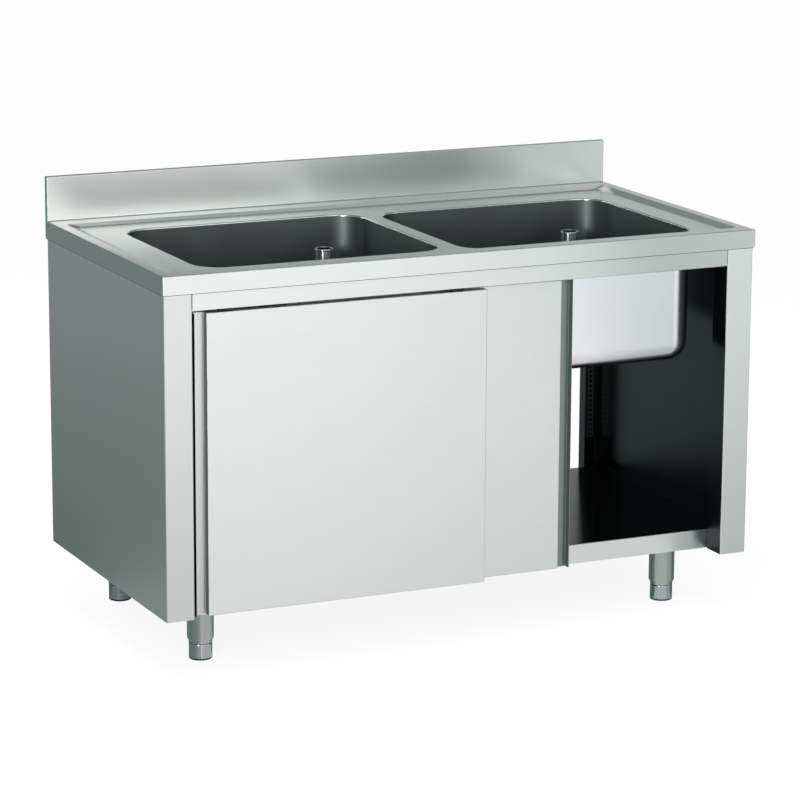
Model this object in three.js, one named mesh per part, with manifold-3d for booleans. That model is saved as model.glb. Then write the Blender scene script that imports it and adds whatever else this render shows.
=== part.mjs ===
// Catering sink unit in folded stainless steel: a pressed worktop with two deep bowls, standpipes and
// an upstand, on a cupboard with two top-hung sliding doors and four adjustable legs.
// Millimetres, +Z up, front towards -Y. The origin is on the floor, under the middle of the worktop.

import * as THREE from 'three';
import { mergeVertices } from 'three/addons/utils/BufferGeometryUtils.js';
import Module from 'manifold-3d';

const wasm = await Module();
wasm.setup();

// ---------------------------------------------------------------- Driving dimensions

// Whole unit
const WIDTH = 1400;
const DEPTH = 730;
const DECK_HEIGHT = 870; // floor to the worktop's rim
const TOP_SHEET = 1.5;
const BODY_SHEET = 1.2;
const SEAT_GAP = 0.3; // between pieces that rest on each other
const PAST = 1; // how far a cutting tool runs past the surface that it cuts

// Worktop
const FOLD_DROP = 40;
const UPSTAND_RISE = 100;
const UPSTAND_DEPTH = 15;
const RECESS_DROP = 7;
const RIM_FRONT = 38;
const RIM_BACK = 53;
const RIM_END = 24;
const RECESS_SLOPE_LONG = 4; // run of the recess wall along the front and back
const RECESS_SLOPE_END = 24; // run of the recess wall at the two ends
const RECESS_CORNER = 22;

// Bowls
const BOWL_LENGTH = 566;
const BOWL_BREADTH = 497;
const BOWL_DEPTH = 300; // rim to bowl floor
const BOWL_CORNER = 65;
const BOWL_FILLET = 40;
const BOWL_FLANGE = 8;
const BOWL_SPACING = 39;
const LEFT_END_MARGIN = 121;
const LEFT_BOWL_SETBACK = 86; // worktop's front edge to bowl
const RIGHT_BOWL_SETBACK = 62;

// Wastes and standpipes
const DRAIN_FROM_SIDE = 121;
const DRAIN_FROM_BACK = 111;
const WASTE_FLANGE_RADIUS = 37.5;
const WASTE_FLANGE_THICK = 1.5;
const WASTE_BODY_RADIUS = 25;
const WASTE_BORE_RADIUS = 22;
const WASTE_SEAT_DEPTH = 11; // bowl floor to the standpipe's seat
const WASTE_LENGTH = 42; // bowl floor to the outlet's end
const GASKET_RADIUS = 35;
const GASKET_THICK = 2;
const NUT_RADIUS = 36;
const NUT_HEIGHT = 12;
const STANDPIPE_RADIUS = 19;
const STANDPIPE_WALL = 1.2;
const STANDPIPE_BEAD = 2.2;
const STANDPIPE_BELOW_RIM = 60;
const SEAL_HEIGHT = 12;

// Cupboard body
const BODY_CLEARANCE = 132; // floor to the panels' lower edge
const PANEL_INSET = 3;
const FRONT_SETBACK = 5;
const BACK_SETBACK = 5;
const STILE_WIDTH = 63;
const STILE_DEPTH = 62;
const STILE_RETURN = 40;
const POST_WIDTH = 47;
const POST_DEPTH = 31;
const PANEL_TOP_FLANGE = 57;
const PANEL_FOOT_FLANGE = 30;
const RAIL_DROP = 37; // visible height of the front rail under the worktop
const RAIL_SETBACK = 6;
const RAIL_FLANGE = 44;
const REAR_RAIL_HEIGHT = 60;
const REAR_RAIL_FLANGE = 24;
const SHELF_FOLD = 43.5;
const STIFFENER_WIDTH = 70;
const STIFFENER_HEIGHT = 25;
const STIFFENER_FLANGE = 15;
const STIFFENER_END = 16;
const BRACE_HEIGHT = 26;
const BRACE_SIDE_GAP = 1;
const BRACE_FRONT = 56;
const BRACE_BACK = 42;

// Perforated racks for a middle shelf, on the back posts
const RACK_WIDTH = 16;
const RACK_DEPTH = 8;
const RACK_FOOT = 245; // floor to the rack's lower end
const RACK_LENGTH = 300;
const RACK_SIDE_GAP = 11;
const RACK_PITCH = 12;
const RACK_HOLE_WIDTH = 7;
const RACK_HOLE_HEIGHT = 5;

// Sliding doors
const DOOR_OVERLAP = 88; // of the two doors, when both are shut
const DOOR_THICK = 18;
const DOOR_SETBACK = 6;
const DOOR_PITCH = 30; // front door's face to rear door's face
const DOOR_FOOT_GAP = 4; // above the panels' lower edge
const DOOR_HEAD_GAP = 7; // below the front rail
const DOOR_END_GAP = 5; // beside the stile, when shut
const REAR_DOOR_OPEN = 363; // how far the rear door stands open
const GRIP_WIDTH = 27;
const GRIP_DEPTH = 14.5;
const BACK_PAN_FLANGE = 4;
const CORE_GAP = 0.5;

// Hanging gear
const TRACK_LIFT = 4; // door top to track
const TRACK_WIDTH = 9.8;
const TRACK_WEB_SETBACK = 16.2; // door face to the back of the track's web
const TRACK_LIP = 5;
const ROLLER_RADIUS = 11;
const ROLLER_WIDTH = 6;
const ROLLER_INSET = 70; // from the door's end
const AXLE_RADIUS = 3;
const HANGER_WIDTH = 30;
const HANGER_PLATE = 2;
const HANGER_SETBACK = 3; // door face to hanger plate
const HANGER_FOOT = 9;
const HANGER_HEAD = 9; // above the axle
const STOP_LENGTH = 12;
const STOP_HEIGHT = 12;
const GUIDE_LENGTH = 40;
const GUIDE_HEIGHT = 24;
const GUIDE_LIFT = 8; // door foot to guide
const SLIDE_PLAY = 0.6;
const GLIDE_LENGTH = 60;
const GLIDE_HEIGHT = 20;
const GLIDE_INSET = 12;

// Legs
const LEG_END_INSET = 135;
const LEG_FRONT_INSET = 150;
const LEG_BACK_INSET = 83;
const LEG_PLATE_WIDTH = 90;
const LEG_PLATE_THICK = 3;
const LEG_RADIUS = 29;
const LEG_WALL = 1.5;
const LEG_NECK_RADIUS = 25.6;
const LEG_NECK_LENGTH = 4;
const LEG_TAPER = 6;
const FOOT_HEIGHT = 37;
const FOOT_RADIUS = 25.4;
const FOOT_WALL = 1.5;
const FOOT_CROWN = 8;
const FOOT_STEM_RADIUS = 8;
const FOOT_STEM_LENGTH = 75;
const TIP_HEIGHT = 3.7;
const TIP_BEVEL = 2.4;

// Facets on round shapes
const ARC_STEPS = 8;
const FILLET_STEPS = 5;
const ROUND_STEPS = 24;

// ---------------------------------------------------------------- Places worked out from them

const left = -WIDTH / 2;
const right = WIDTH / 2;
const front = -DEPTH / 2;
const back = DEPTH / 2;

const deckFloor = DECK_HEIGHT - RECESS_DROP;
const deckUnderside = deckFloor - TOP_SHEET;
const bodyTop = deckUnderside - SEAT_GAP;
const bodyFoot = BODY_CLEARANCE;
const foldFoot = DECK_HEIGHT - FOLD_DROP;
const upstandTop = DECK_HEIGHT + UPSTAND_RISE;
const upstandFace = back - UPSTAND_DEPTH;

const panelFront = front + FRONT_SETBACK;
const panelBack = back - BACK_SETBACK;
const openingLeft = left + PANEL_INSET + STILE_WIDTH;
const openingRight = -openingLeft;
const stileBack = panelFront + STILE_DEPTH;
const postFront = panelBack - POST_DEPTH;

const railFoot = foldFoot - RAIL_DROP;
const doorTop = railFoot - DOOR_HEAD_GAP;
const doorFoot = bodyFoot + DOOR_FOOT_GAP;
const doorFace = front + DOOR_SETBACK;
const doorWidth = (openingRight - openingLeft + DOOR_OVERLAP) / 2 - DOOR_END_GAP;

const shelfFoot = bodyFoot + BODY_SHEET + SEAT_GAP;
const shelfTop = shelfFoot + SHELF_FOLD;
const shelfUnderside = shelfTop - BODY_SHEET;
const shelfFront = stileBack + SEAT_GAP;
const shelfBack = postFront - SEAT_GAP;

const trackFoot = doorTop + TRACK_LIFT;
const axleHeight = trackFoot + BODY_SHEET + SEAT_GAP + ROLLER_RADIUS;
const trackTop = bodyTop - BODY_SHEET - SEAT_GAP;

const bowlFloor = DECK_HEIGHT - BOWL_DEPTH;
const bowlUnderside = bowlFloor - BODY_SHEET;

const BOWLS = {
  left: { x: left + LEFT_END_MARGIN, y: front + LEFT_BOWL_SETBACK },
  right: { x: left + LEFT_END_MARGIN + BOWL_LENGTH + BOWL_SPACING, y: front + RIGHT_BOWL_SETBACK },
};

const DOORS = {
  front: { x: openingLeft + DOOR_END_GAP, y: doorFace, gripSide: -1 },
  rear: {
    x: openingRight - DOOR_END_GAP - REAR_DOOR_OPEN - doorWidth,
    y: doorFace + DOOR_PITCH,
    gripSide: 1,
  },
};

// ---------------------------------------------------------------- Materials

const FINISHES = {
  steel: { color: 0xc9cdc9, roughness: 0.34, metalness: 1 },
  bowlSteel: { color: 0x9a9e9e, roughness: 0.28, metalness: 1 },
  polishedSteel: { color: 0xd5d8d8, roughness: 0.12, metalness: 1 },
  nylon: { color: 0xe6e4dc, roughness: 0.5, metalness: 0 },
  rubber: { color: 0x1c1d1e, roughness: 0.75, metalness: 0 },
  plastic: { color: 0x202224, roughness: 0.5, metalness: 0 },
  board: { color: 0xb99a6b, roughness: 0.9, metalness: 0 },
};

function material(finish) {
  return new THREE.MeshStandardMaterial(FINISHES[finish]);
}

// ---------------------------------------------------------------- Solids, joins and cuts

function toSolid(geometry) {
  const bare = geometry.clone();
  bare.deleteAttribute('normal');
  bare.deleteAttribute('uv');
  const merged = mergeVertices(bare, 1e-4);
  return new wasm.Manifold(new wasm.Mesh({
    numProp: 3,
    vertProperties: new Float32Array(merged.attributes.position.array),
    triVerts: new Uint32Array(merged.index.array),
  }));
}

function toGeometry(solid) {
  const mesh = solid.getMesh();
  const geometry = new THREE.BufferGeometry();
  geometry.setAttribute('position', new THREE.BufferAttribute(mesh.vertProperties, 3));
  geometry.setIndex(new THREE.BufferAttribute(mesh.triVerts, 1));
  const faceted = geometry.toNonIndexed();
  faceted.computeVertexNormals();
  return faceted;
}

function join(...solids) {
  return solids.reduce((sum, solid) => sum.add(solid));
}

function cut(solid, ...tools) {
  return tools.reduce((rest, tool) => rest.subtract(tool), solid);
}

// A block between two corners.
function block([x0, y0, z0], [x1, y1, z1]) {
  const geometry = new THREE.BoxGeometry(x1 - x0, y1 - y0, z1 - z0);
  geometry.translate((x0 + x1) / 2, (y0 + y1) / 2, (z0 + z1) / 2);
  return toSolid(geometry);
}

// A round rod or bore along Z.
function rod(radius, z0, z1, steps = ROUND_STEPS) {
  const geometry = new THREE.CylinderGeometry(radius, radius, z1 - z0, steps);
  geometry.rotateX(Math.PI / 2);
  geometry.translate(0, 0, (z0 + z1) / 2);
  return toSolid(geometry);
}

// A turned piece: [radius, height] points round the Z axis, which start and end on the axis,
// or close on themselves.
function turned(profile, steps = ROUND_STEPS) {
  const points = profile.map(([radius, height]) => new THREE.Vector2(radius, height));
  if (profile[0][0] > 0) points.push(points[0].clone());
  const geometry = new THREE.LatheGeometry(points, steps);
  geometry.rotateX(Math.PI / 2);
  return toSolid(geometry);
}

function prism(shape, length, placing) {
  const options = { depth: length, bevelEnabled: false, curveSegments: ARC_STEPS };
  return toSolid(new THREE.ExtrudeGeometry(shape, options).applyMatrix4(placing));
}

// An outline in (x, y), carried from z0 to z1.
function prismAlongZ(shape, z0, z1) {
  return prism(shape, z1 - z0, new THREE.Matrix4().makeTranslation(0, 0, z0));
}

// An outline in (y, z), carried from x0 to x1.
function prismAlongX(shape, x0, x1) {
  const placing = new THREE.Matrix4().makeBasis(
    new THREE.Vector3(0, 1, 0), new THREE.Vector3(0, 0, 1), new THREE.Vector3(1, 0, 0));
  return prism(shape, x1 - x0, placing.setPosition(x0, 0, 0));
}

// An outline in (x, z), carried from y0 to y1.
function prismAlongY(shape, y0, y1) {
  const placing = new THREE.Matrix4().makeBasis(
    new THREE.Vector3(1, 0, 0), new THREE.Vector3(0, 0, 1), new THREE.Vector3(0, -1, 0));
  return prism(shape, y1 - y0, placing.setPosition(0, y1, 0));
}

// A folded sheet's section: the outside face's path, and the same path one sheet thickness to its
// left (side = 1) or right (side = -1), with mitred corners.
function foldedSheet(path, sheet, side) {
  const points = path.map(([a, b]) => new THREE.Vector2(a, b));
  const normals = points.slice(1).map((point, i) => {
    const along = point.clone().sub(points[i]).normalize();
    return new THREE.Vector2(-along.y, along.x).multiplyScalar(side);
  });
  const inner = points.map((point, i) => {
    const before = normals[Math.max(i - 1, 0)];
    const after = normals[Math.min(i, normals.length - 1)];
    const mitre = before.clone().add(after);
    return point.clone().addScaledVector(mitre, sheet / (1 + before.dot(after)));
  });
  return new THREE.Shape([...points, ...inner.reverse()]);
}

function roundedRectangle(x0, y0, x1, y1, radius) {
  const shape = new THREE.Shape();
  shape.absarc(x1 - radius, y0 + radius, radius, -Math.PI / 2, 0);
  shape.absarc(x1 - radius, y1 - radius, radius, 0, Math.PI / 2);
  shape.absarc(x0 + radius, y1 - radius, radius, Math.PI / 2, Math.PI);
  shape.absarc(x0 + radius, y0 + radius, radius, Math.PI, 3 * Math.PI / 2);
  return shape;
}

// ---------------------------------------------------------------- Worktop

// The recess's hollow, or its underside when grown by the sheet: its end walls slope more gently.
function recessHollow(grow, top) {
  const x = right - RIM_END + grow;
  const y0 = front + RIM_FRONT - grow;
  const y1 = upstandFace - RIM_BACK + grow;
  const floor = deckFloor - grow;
  const outline = roundedRectangle(-x, y0, x, y1, RECESS_CORNER);
  const geometry = new THREE.ExtrudeGeometry(outline, {
    depth: top - floor, bevelEnabled: false, curveSegments: ARC_STEPS,
  });
  geometry.translate(0, 0, floor);
  const middle = (y0 + y1) / 2;
  const rise = (top - floor) / RECESS_DROP;
  const endShare = 1 - RECESS_SLOPE_END * rise / x;
  const longShare = 1 - RECESS_SLOPE_LONG * rise / (y1 - middle);
  const position = geometry.attributes.position;
  for (let i = 0; i < position.count; i += 1) {
    if (position.getZ(i) > (top + floor) / 2) continue;
    position.setX(i, position.getX(i) * endShare);
    position.setY(i, middle + (position.getY(i) - middle) * longShare);
  }
  return toSolid(geometry);
}

function bowlOpening(bowl) {
  const outline = roundedRectangle(bowl.x, bowl.y, bowl.x + BOWL_LENGTH, bowl.y + BOWL_BREADTH, BOWL_CORNER);
  return prismAlongZ(outline, foldFoot, DECK_HEIGHT + PAST);
}

function worktop() {
  const t = TOP_SHEET;
  const outside = join(
    block([left, front, foldFoot], [right, back, DECK_HEIGHT]),
    block([left, upstandFace, foldFoot], [right, back, upstandTop]));
  const under = cut(
    block([left + t, front + t, foldFoot - PAST], [right - t, back - t, DECK_HEIGHT - t]),
    recessHollow(t, DECK_HEIGHT - t));
  const upstandInside = block(
    [left + t, upstandFace + t, foldFoot - PAST], [right - t, back - t, upstandTop - t]);
  const openings = Object.values(BOWLS).map(bowlOpening);
  return cut(outside, recessHollow(0, DECK_HEIGHT), under, upstandInside, ...openings);
}

// A channel under the deck, between the two bowls.
function centreBrace() {
  const reach = BODY_SHEET + BOWL_FLANGE + BRACE_SIDE_GAP;
  const x0 = BOWLS.left.x + BOWL_LENGTH + reach;
  const x1 = BOWLS.right.x - reach;
  const foot = bodyTop - BRACE_HEIGHT;
  const section = foldedSheet([[x0, foot], [x0, bodyTop], [x1, bodyTop], [x1, foot]], BODY_SHEET, -1);
  return prismAlongY(section, front + BRACE_FRONT, back - BRACE_BACK);
}

// ---------------------------------------------------------------- Bowls, wastes and standpipes

function bowlOutline(grow) {
  return roundedRectangle(-grow, -grow, BOWL_LENGTH + grow, BOWL_BREADTH + grow, BOWL_CORNER + grow);
}

// A block with upright rounded corners and a rounded lower edge. Its upper edge is rounded too, and
// starts at the height given.
function bowlBlock(grow, top) {
  const fillet = BOWL_FILLET + grow;
  const foot = bowlFloor - grow;
  const geometry = new THREE.ExtrudeGeometry(bowlOutline(grow), {
    depth: top - foot - fillet,
    bevelThickness: fillet,
    bevelSize: fillet,
    bevelOffset: -fillet,
    bevelSegments: FILLET_STEPS,
    curveSegments: ARC_STEPS,
  });
  geometry.translate(0, 0, foot + fillet);
  return toSolid(geometry);
}

// The bowl stands on its own corner, x and y from its left front.
function bowl() {
  const rimTop = deckUnderside - SEAT_GAP;
  const reach = BODY_SHEET + BOWL_FLANGE;
  const above = prismAlongZ(bowlOutline(reach), rimTop, DECK_HEIGHT + BOWL_DEPTH);
  const flange = prismAlongZ(bowlOutline(reach), rimTop - BODY_SHEET, rimTop);
  const shell = join(cut(bowlBlock(BODY_SHEET, DECK_HEIGHT), above), flange);
  const hole = rod(WASTE_BODY_RADIUS + SEAT_GAP, bowlUnderside - PAST, bowlFloor + PAST)
    .translate(BOWL_LENGTH - DRAIN_FROM_SIDE, BOWL_BREADTH - DRAIN_FROM_BACK, 0);
  return cut(shell, bowlBlock(0, DECK_HEIGHT + BOWL_FILLET), hole);
}

// Heights in the waste and the standpipe are counted from the bowl's floor.
const flangeFoot = SEAT_GAP;
const seatHeight = -WASTE_SEAT_DEPTH;
const gasketTop = -BODY_SHEET - SEAT_GAP;
const nutTop = gasketTop - GASKET_THICK - SEAT_GAP;
const pipeFoot = seatHeight + SEAT_GAP;
const pipeTop = BOWL_DEPTH - STANDPIPE_BELOW_RIM;

function wasteBody() {
  const flangeTop = flangeFoot + WASTE_FLANGE_THICK;
  const outlet = STANDPIPE_RADIUS - STANDPIPE_WALL;
  return turned([
    [WASTE_BORE_RADIUS, flangeTop],
    [WASTE_BORE_RADIUS, seatHeight],
    [outlet, seatHeight],
    [outlet, -WASTE_LENGTH],
    [WASTE_BODY_RADIUS, -WASTE_LENGTH],
    [WASTE_BODY_RADIUS, flangeFoot],
    [WASTE_FLANGE_RADIUS, flangeFoot],
    [WASTE_FLANGE_RADIUS, flangeTop],
  ]);
}

function wasteGasket() {
  const bore = WASTE_BODY_RADIUS + SEAT_GAP;
  return turned([
    [bore, gasketTop - GASKET_THICK],
    [GASKET_RADIUS, gasketTop - GASKET_THICK],
    [GASKET_RADIUS, gasketTop],
    [bore, gasketTop],
  ]);
}

function wasteNut() {
  const hexagon = rod(NUT_RADIUS, nutTop - NUT_HEIGHT, nutTop, 6);
  const bore = rod(WASTE_BODY_RADIUS + SEAT_GAP, nutTop - NUT_HEIGHT - PAST, nutTop + PAST);
  return cut(hexagon, bore);
}

// A plain tube with a bead rolled outwards at its top.
function standpipeTube() {
  const bore = STANDPIPE_RADIUS - STANDPIPE_WALL;
  const bead = STANDPIPE_RADIUS + STANDPIPE_BEAD;
  return turned([
    [bore, pipeFoot],
    [STANDPIPE_RADIUS, pipeFoot],
    [STANDPIPE_RADIUS, pipeTop - 2 * STANDPIPE_BEAD],
    [bead, pipeTop - STANDPIPE_BEAD],
    [STANDPIPE_RADIUS + STANDPIPE_BEAD / 2, pipeTop],
    [bore, pipeTop],
  ]);
}

function standpipeSeal() {
  const bore = STANDPIPE_RADIUS + SEAT_GAP;
  const outside = WASTE_BORE_RADIUS - SEAT_GAP;
  return turned([
    [bore, pipeFoot],
    [outside, pipeFoot],
    [outside, pipeFoot + SEAL_HEIGHT],
    [bore, pipeFoot + SEAL_HEIGHT],
  ]);
}

// ---------------------------------------------------------------- Cupboard body

// One folded sheet: the boxed stile in front, the side, and the post at the back. side is -1 for
// the left panel and 1 for the right one.
function sidePanel(side) {
  const x = (inset) => side * (right - PANEL_INSET - inset);
  const section = foldedSheet([
    [x(STILE_WIDTH - STILE_RETURN), stileBack],
    [x(STILE_WIDTH), stileBack],
    [x(STILE_WIDTH), panelFront],
    [x(0), panelFront],
    [x(0), panelBack],
    [x(POST_WIDTH), panelBack],
    [x(POST_WIDTH), postFront],
  ], BODY_SHEET, side);
  const flange = (width, z0) => {
    const [x0, x1] = [x(0), x(width)].sort((a, b) => a - b);
    return block([x0, stileBack, z0], [x1, postFront, z0 + BODY_SHEET]);
  };
  return join(
    prismAlongZ(section, bodyFoot, bodyTop),
    flange(PANEL_TOP_FLANGE, bodyTop - BODY_SHEET),
    flange(PANEL_FOOT_FLANGE, bodyFoot));
}

function frontTopRail() {
  const face = front + RAIL_SETBACK;
  const section = foldedSheet(
    [[face, railFoot], [face, bodyTop], [face + RAIL_FLANGE, bodyTop]], BODY_SHEET, -1);
  return prismAlongX(section, openingLeft + SEAT_GAP, openingRight - SEAT_GAP);
}

function rearTopRail() {
  const foot = bodyTop - REAR_RAIL_HEIGHT;
  const inner = panelBack - REAR_RAIL_FLANGE;
  const section = foldedSheet(
    [[inner, foot], [panelBack, foot], [panelBack, bodyTop], [inner, bodyTop]], BODY_SHEET, 1);
  const end = right - PANEL_INSET - POST_WIDTH - SEAT_GAP;
  return prismAlongX(section, -end, end);
}

// The shelf is a tray turned upside down, folded down on all four sides.
function bottomShelf() {
  const t = BODY_SHEET;
  const end = right - PANEL_INSET - BODY_SHEET - SEAT_GAP;
  return cut(
    block([-end, shelfFront, shelfFoot], [end, shelfBack, shelfTop]),
    block([-end + t, shelfFront + t, shelfFoot - PAST], [end - t, shelfBack - t, shelfUnderside]));
}

// A hat section under the shelf, between the front legs and the back legs.
function shelfStiffener() {
  const middle = (front + LEG_FRONT_INSET + back - LEG_BACK_INSET) / 2;
  const y = STIFFENER_WIDTH / 2;
  const top = shelfUnderside - SEAT_GAP;
  const foot = top - STIFFENER_HEIGHT;
  const section = foldedSheet([
    [middle - y - STIFFENER_FLANGE, top],
    [middle - y, top],
    [middle - y, foot],
    [middle + y, foot],
    [middle + y, top],
    [middle + y + STIFFENER_FLANGE, top],
  ], BODY_SHEET, -1);
  return prismAlongX(section, left + STIFFENER_END, right - STIFFENER_END);
}

// A slotted channel on the post's inner face, open towards the post.
function shelfRack() {
  const rearFace = panelBack - BODY_SHEET - SEAT_GAP;
  const face = rearFace - RACK_DEPTH;
  const x = RACK_WIDTH / 2;
  const section = foldedSheet([[-x, rearFace], [-x, face], [x, face], [x, rearFace]], BODY_SHEET, 1);
  const holes = [];
  const count = Math.floor(RACK_LENGTH / RACK_PITCH);
  for (let i = 0; i < count; i += 1) {
    const middle = RACK_FOOT + (i + 0.5) * RACK_PITCH;
    holes.push(block(
      [-RACK_HOLE_WIDTH / 2, face - PAST, middle - RACK_HOLE_HEIGHT / 2],
      [RACK_HOLE_WIDTH / 2, face + BODY_SHEET + PAST, middle + RACK_HOLE_HEIGHT / 2]));
  }
  return cut(prismAlongZ(section, RACK_FOOT, RACK_FOOT + RACK_LENGTH), ...holes);
}

// ---------------------------------------------------------------- Sliding doors
// A door is built with x from its left end, y from its face, and heights from the floor.

// Doors are drawn with the grip at the left end. gripSide = 1 puts it at the right end instead.
function doorX(gripSide) {
  return (x) => (gripSide < 0 ? x : doorWidth - x);
}

function span(gripSide, x0, x1) {
  return [doorX(gripSide)(x0), doorX(gripSide)(x1)].sort((a, b) => a - b);
}

// The outer pan: the face, folded back along its four edges.
function doorSkin(gripSide) {
  const t = BODY_SHEET;
  const [x0, x1] = span(gripSide, GRIP_WIDTH, doorWidth);
  return cut(
    block([x0, 0, doorFoot], [x1, DOOR_THICK, doorTop]),
    block([x0 + t, t, doorFoot + t], [x1 - t, DOOR_THICK + PAST, doorTop - t]));
}

// The finger pull along the door's end: a thin lip and the bottom of the channel behind it.
function doorGrip(gripSide) {
  const t = BODY_SHEET;
  const [x0, x1] = span(gripSide, 0, t);
  const [x2, x3] = span(gripSide, 0, GRIP_WIDTH - SEAT_GAP);
  return join(
    block([x0, 0, doorFoot], [x1, DOOR_THICK, doorTop]),
    block([x2, GRIP_DEPTH, doorFoot], [x3, GRIP_DEPTH + t, doorTop]));
}

// The inner pan closes the door's back. Its rim stands inside the folds of the skin.
function doorBack(gripSide) {
  const t = BODY_SHEET;
  const inset = t + SEAT_GAP;
  const face = DOOR_THICK + SEAT_GAP;
  const rimFront = face - BACK_PAN_FLANGE;
  const [x0, x1] = span(gripSide, inset, doorWidth - inset);
  const [x2, x3] = span(gripSide, GRIP_WIDTH + inset, doorWidth - inset);
  const rim = cut(
    block([x2, rimFront, doorFoot + inset], [x3, face + t / 2, doorTop - inset]),
    block([x2 + t, rimFront - PAST, doorFoot + inset + t], [x3 - t, face + PAST, doorTop - inset - t]));
  return join(rim, block([x0, face, doorFoot], [x1, face + t, doorTop]));
}

// The board that fills the door and keeps it quiet.
function doorCore(gripSide) {
  const inset = 2 * BODY_SHEET + SEAT_GAP + CORE_GAP;
  const [x0, x1] = span(gripSide, GRIP_WIDTH + inset, doorWidth - inset);
  return block(
    [x0, BODY_SHEET + SEAT_GAP, doorFoot + inset],
    [x1, DOOR_THICK - SEAT_GAP, doorTop - inset]);
}

const rollerFace = TRACK_WEB_SETBACK - BODY_SHEET - SEAT_GAP - ROLLER_WIDTH - CORE_GAP;

// A bent plate on the door's top edge, with the axle that carries a roller.
function doorHanger() {
  const x = HANGER_WIDTH / 2;
  const foot = doorTop + SEAT_GAP;
  const plateBack = HANGER_SETBACK + HANGER_PLATE;
  const axle = rod(AXLE_RADIUS, plateBack - HANGER_PLATE / 2, rollerFace + ROLLER_WIDTH)
    .rotate([-90, 0, 0])
    .translate(0, 0, axleHeight);
  return join(
    block([-x, HANGER_SETBACK, foot], [x, plateBack, axleHeight + HANGER_HEAD]),
    block([-x, HANGER_SETBACK, foot], [x, HANGER_SETBACK + HANGER_FOOT, foot + HANGER_PLATE]),
    axle);
}

// The roller turns about its own origin, with its axis along Y.
function roller() {
  const edge = ROLLER_WIDTH / 6;
  const bore = AXLE_RADIUS + SEAT_GAP;
  return turned([
    [bore, 0],
    [ROLLER_RADIUS - edge, 0],
    [ROLLER_RADIUS, edge],
    [ROLLER_RADIUS, ROLLER_WIDTH - edge],
    [ROLLER_RADIUS - edge, ROLLER_WIDTH],
    [bore, ROLLER_WIDTH],
  ]).rotate([-90, 0, 0]);
}

// A rail with a web behind the roller, a tread under it and a lip in front.
function track(door) {
  const web = door.y + TRACK_WEB_SETBACK;
  const lip = web - TRACK_WIDTH;
  const section = foldedSheet([
    [lip, trackFoot + BODY_SHEET + TRACK_LIP],
    [lip, trackFoot],
    [web, trackFoot],
    [web, trackTop],
    [lip, trackTop],
  ], BODY_SHEET, 1);
  return prismAlongX(section, openingLeft + SEAT_GAP, openingRight - SEAT_GAP);
}

// A rubber block on the tread, at the place where the roller's edge comes to it.
function trackStop() {
  const seat = trackFoot + BODY_SHEET + SEAT_GAP;
  return block([0, rollerFace, seat], [STOP_LENGTH, rollerFace + ROLLER_WIDTH, seat + STOP_HEIGHT]);
}

// A nylon block on the shelf's front fold, behind the rear door.
function guideBlock() {
  const foot = doorFoot + GUIDE_LIFT;
  const doorRear = DOORS.rear.y + DOOR_THICK + BODY_SHEET + SEAT_GAP;
  return block(
    [-GUIDE_LENGTH / 2, doorRear + SLIDE_PLAY, foot],
    [GUIDE_LENGTH / 2, shelfFront - SEAT_GAP, foot + GUIDE_HEIGHT]);
}

// A nylon pad on the front door's back, which runs along the rear door's face.
function doorGlide() {
  const x1 = doorWidth - GLIDE_INSET;
  const foot = doorFoot + GUIDE_LIFT;
  return block(
    [x1 - GLIDE_LENGTH, DOOR_THICK + BODY_SHEET + 2 * SEAT_GAP, foot],
    [x1, DOOR_PITCH - SLIDE_PLAY, foot + GLIDE_HEIGHT]);
}

// ---------------------------------------------------------------- Legs

// A plate under the shelf and a tube that is drawn in at its foot.
function leg() {
  const plateTop = shelfUnderside - SEAT_GAP;
  const half = LEG_PLATE_WIDTH / 2;
  const plate = block([-half, -half, plateTop - LEG_PLATE_THICK], [half, half, plateTop]);
  const neckTop = FOOT_HEIGHT + LEG_NECK_LENGTH;
  const bore = FOOT_STEM_RADIUS + SEAT_GAP;
  const tube = turned([
    [LEG_RADIUS, plateTop - LEG_PLATE_THICK / 2],
    [LEG_RADIUS - LEG_WALL, plateTop - LEG_PLATE_THICK / 2],
    [LEG_RADIUS - LEG_WALL, neckTop + LEG_TAPER],
    [LEG_NECK_RADIUS - LEG_WALL, neckTop],
    [bore, neckTop],
    [bore, FOOT_HEIGHT],
    [LEG_NECK_RADIUS, FOOT_HEIGHT],
    [LEG_NECK_RADIUS, neckTop],
    [LEG_RADIUS, neckTop + LEG_TAPER],
  ]);
  return join(plate, tube);
}

// A cup with a threaded stem that turns up into the leg.
function foot() {
  const top = FOOT_HEIGHT - SEAT_GAP;
  const inside = FOOT_RADIUS - FOOT_WALL;
  return turned([
    [0, top - FOOT_CROWN],
    [inside, top - FOOT_CROWN],
    [inside, TIP_HEIGHT + SEAT_GAP],
    [FOOT_RADIUS, TIP_HEIGHT + SEAT_GAP],
    [FOOT_RADIUS, top],
    [FOOT_STEM_RADIUS, top],
    [FOOT_STEM_RADIUS, top + FOOT_STEM_LENGTH],
    [0, top + FOOT_STEM_LENGTH],
  ]);
}

// A plastic plug that fills the cup and stands on the floor.
function footTip() {
  const inside = FOOT_RADIUS - FOOT_WALL - SEAT_GAP;
  return turned([
    [0, 0],
    [FOOT_RADIUS - TIP_BEVEL, 0],
    [FOOT_RADIUS, TIP_BEVEL],
    [FOOT_RADIUS, TIP_HEIGHT],
    [inside, TIP_HEIGHT],
    [inside, FOOT_HEIGHT - FOOT_CROWN - 2 * SEAT_GAP],
    [0, FOOT_HEIGHT - FOOT_CROWN - 2 * SEAT_GAP],
  ]);
}

// ---------------------------------------------------------------- Assembly

const unit = new THREE.Group();

function addPiece(parent, name, solid, finish, [x, y, z] = [0, 0, 0]) {
  const mesh = new THREE.Mesh(toGeometry(solid), material(finish));
  mesh.name = name;
  mesh.position.set(x, y, z);
  parent.add(mesh);
}

function addGroup(x, y, z) {
  const group = new THREE.Group();
  group.position.set(x, y, z);
  unit.add(group);
  return group;
}

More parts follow.
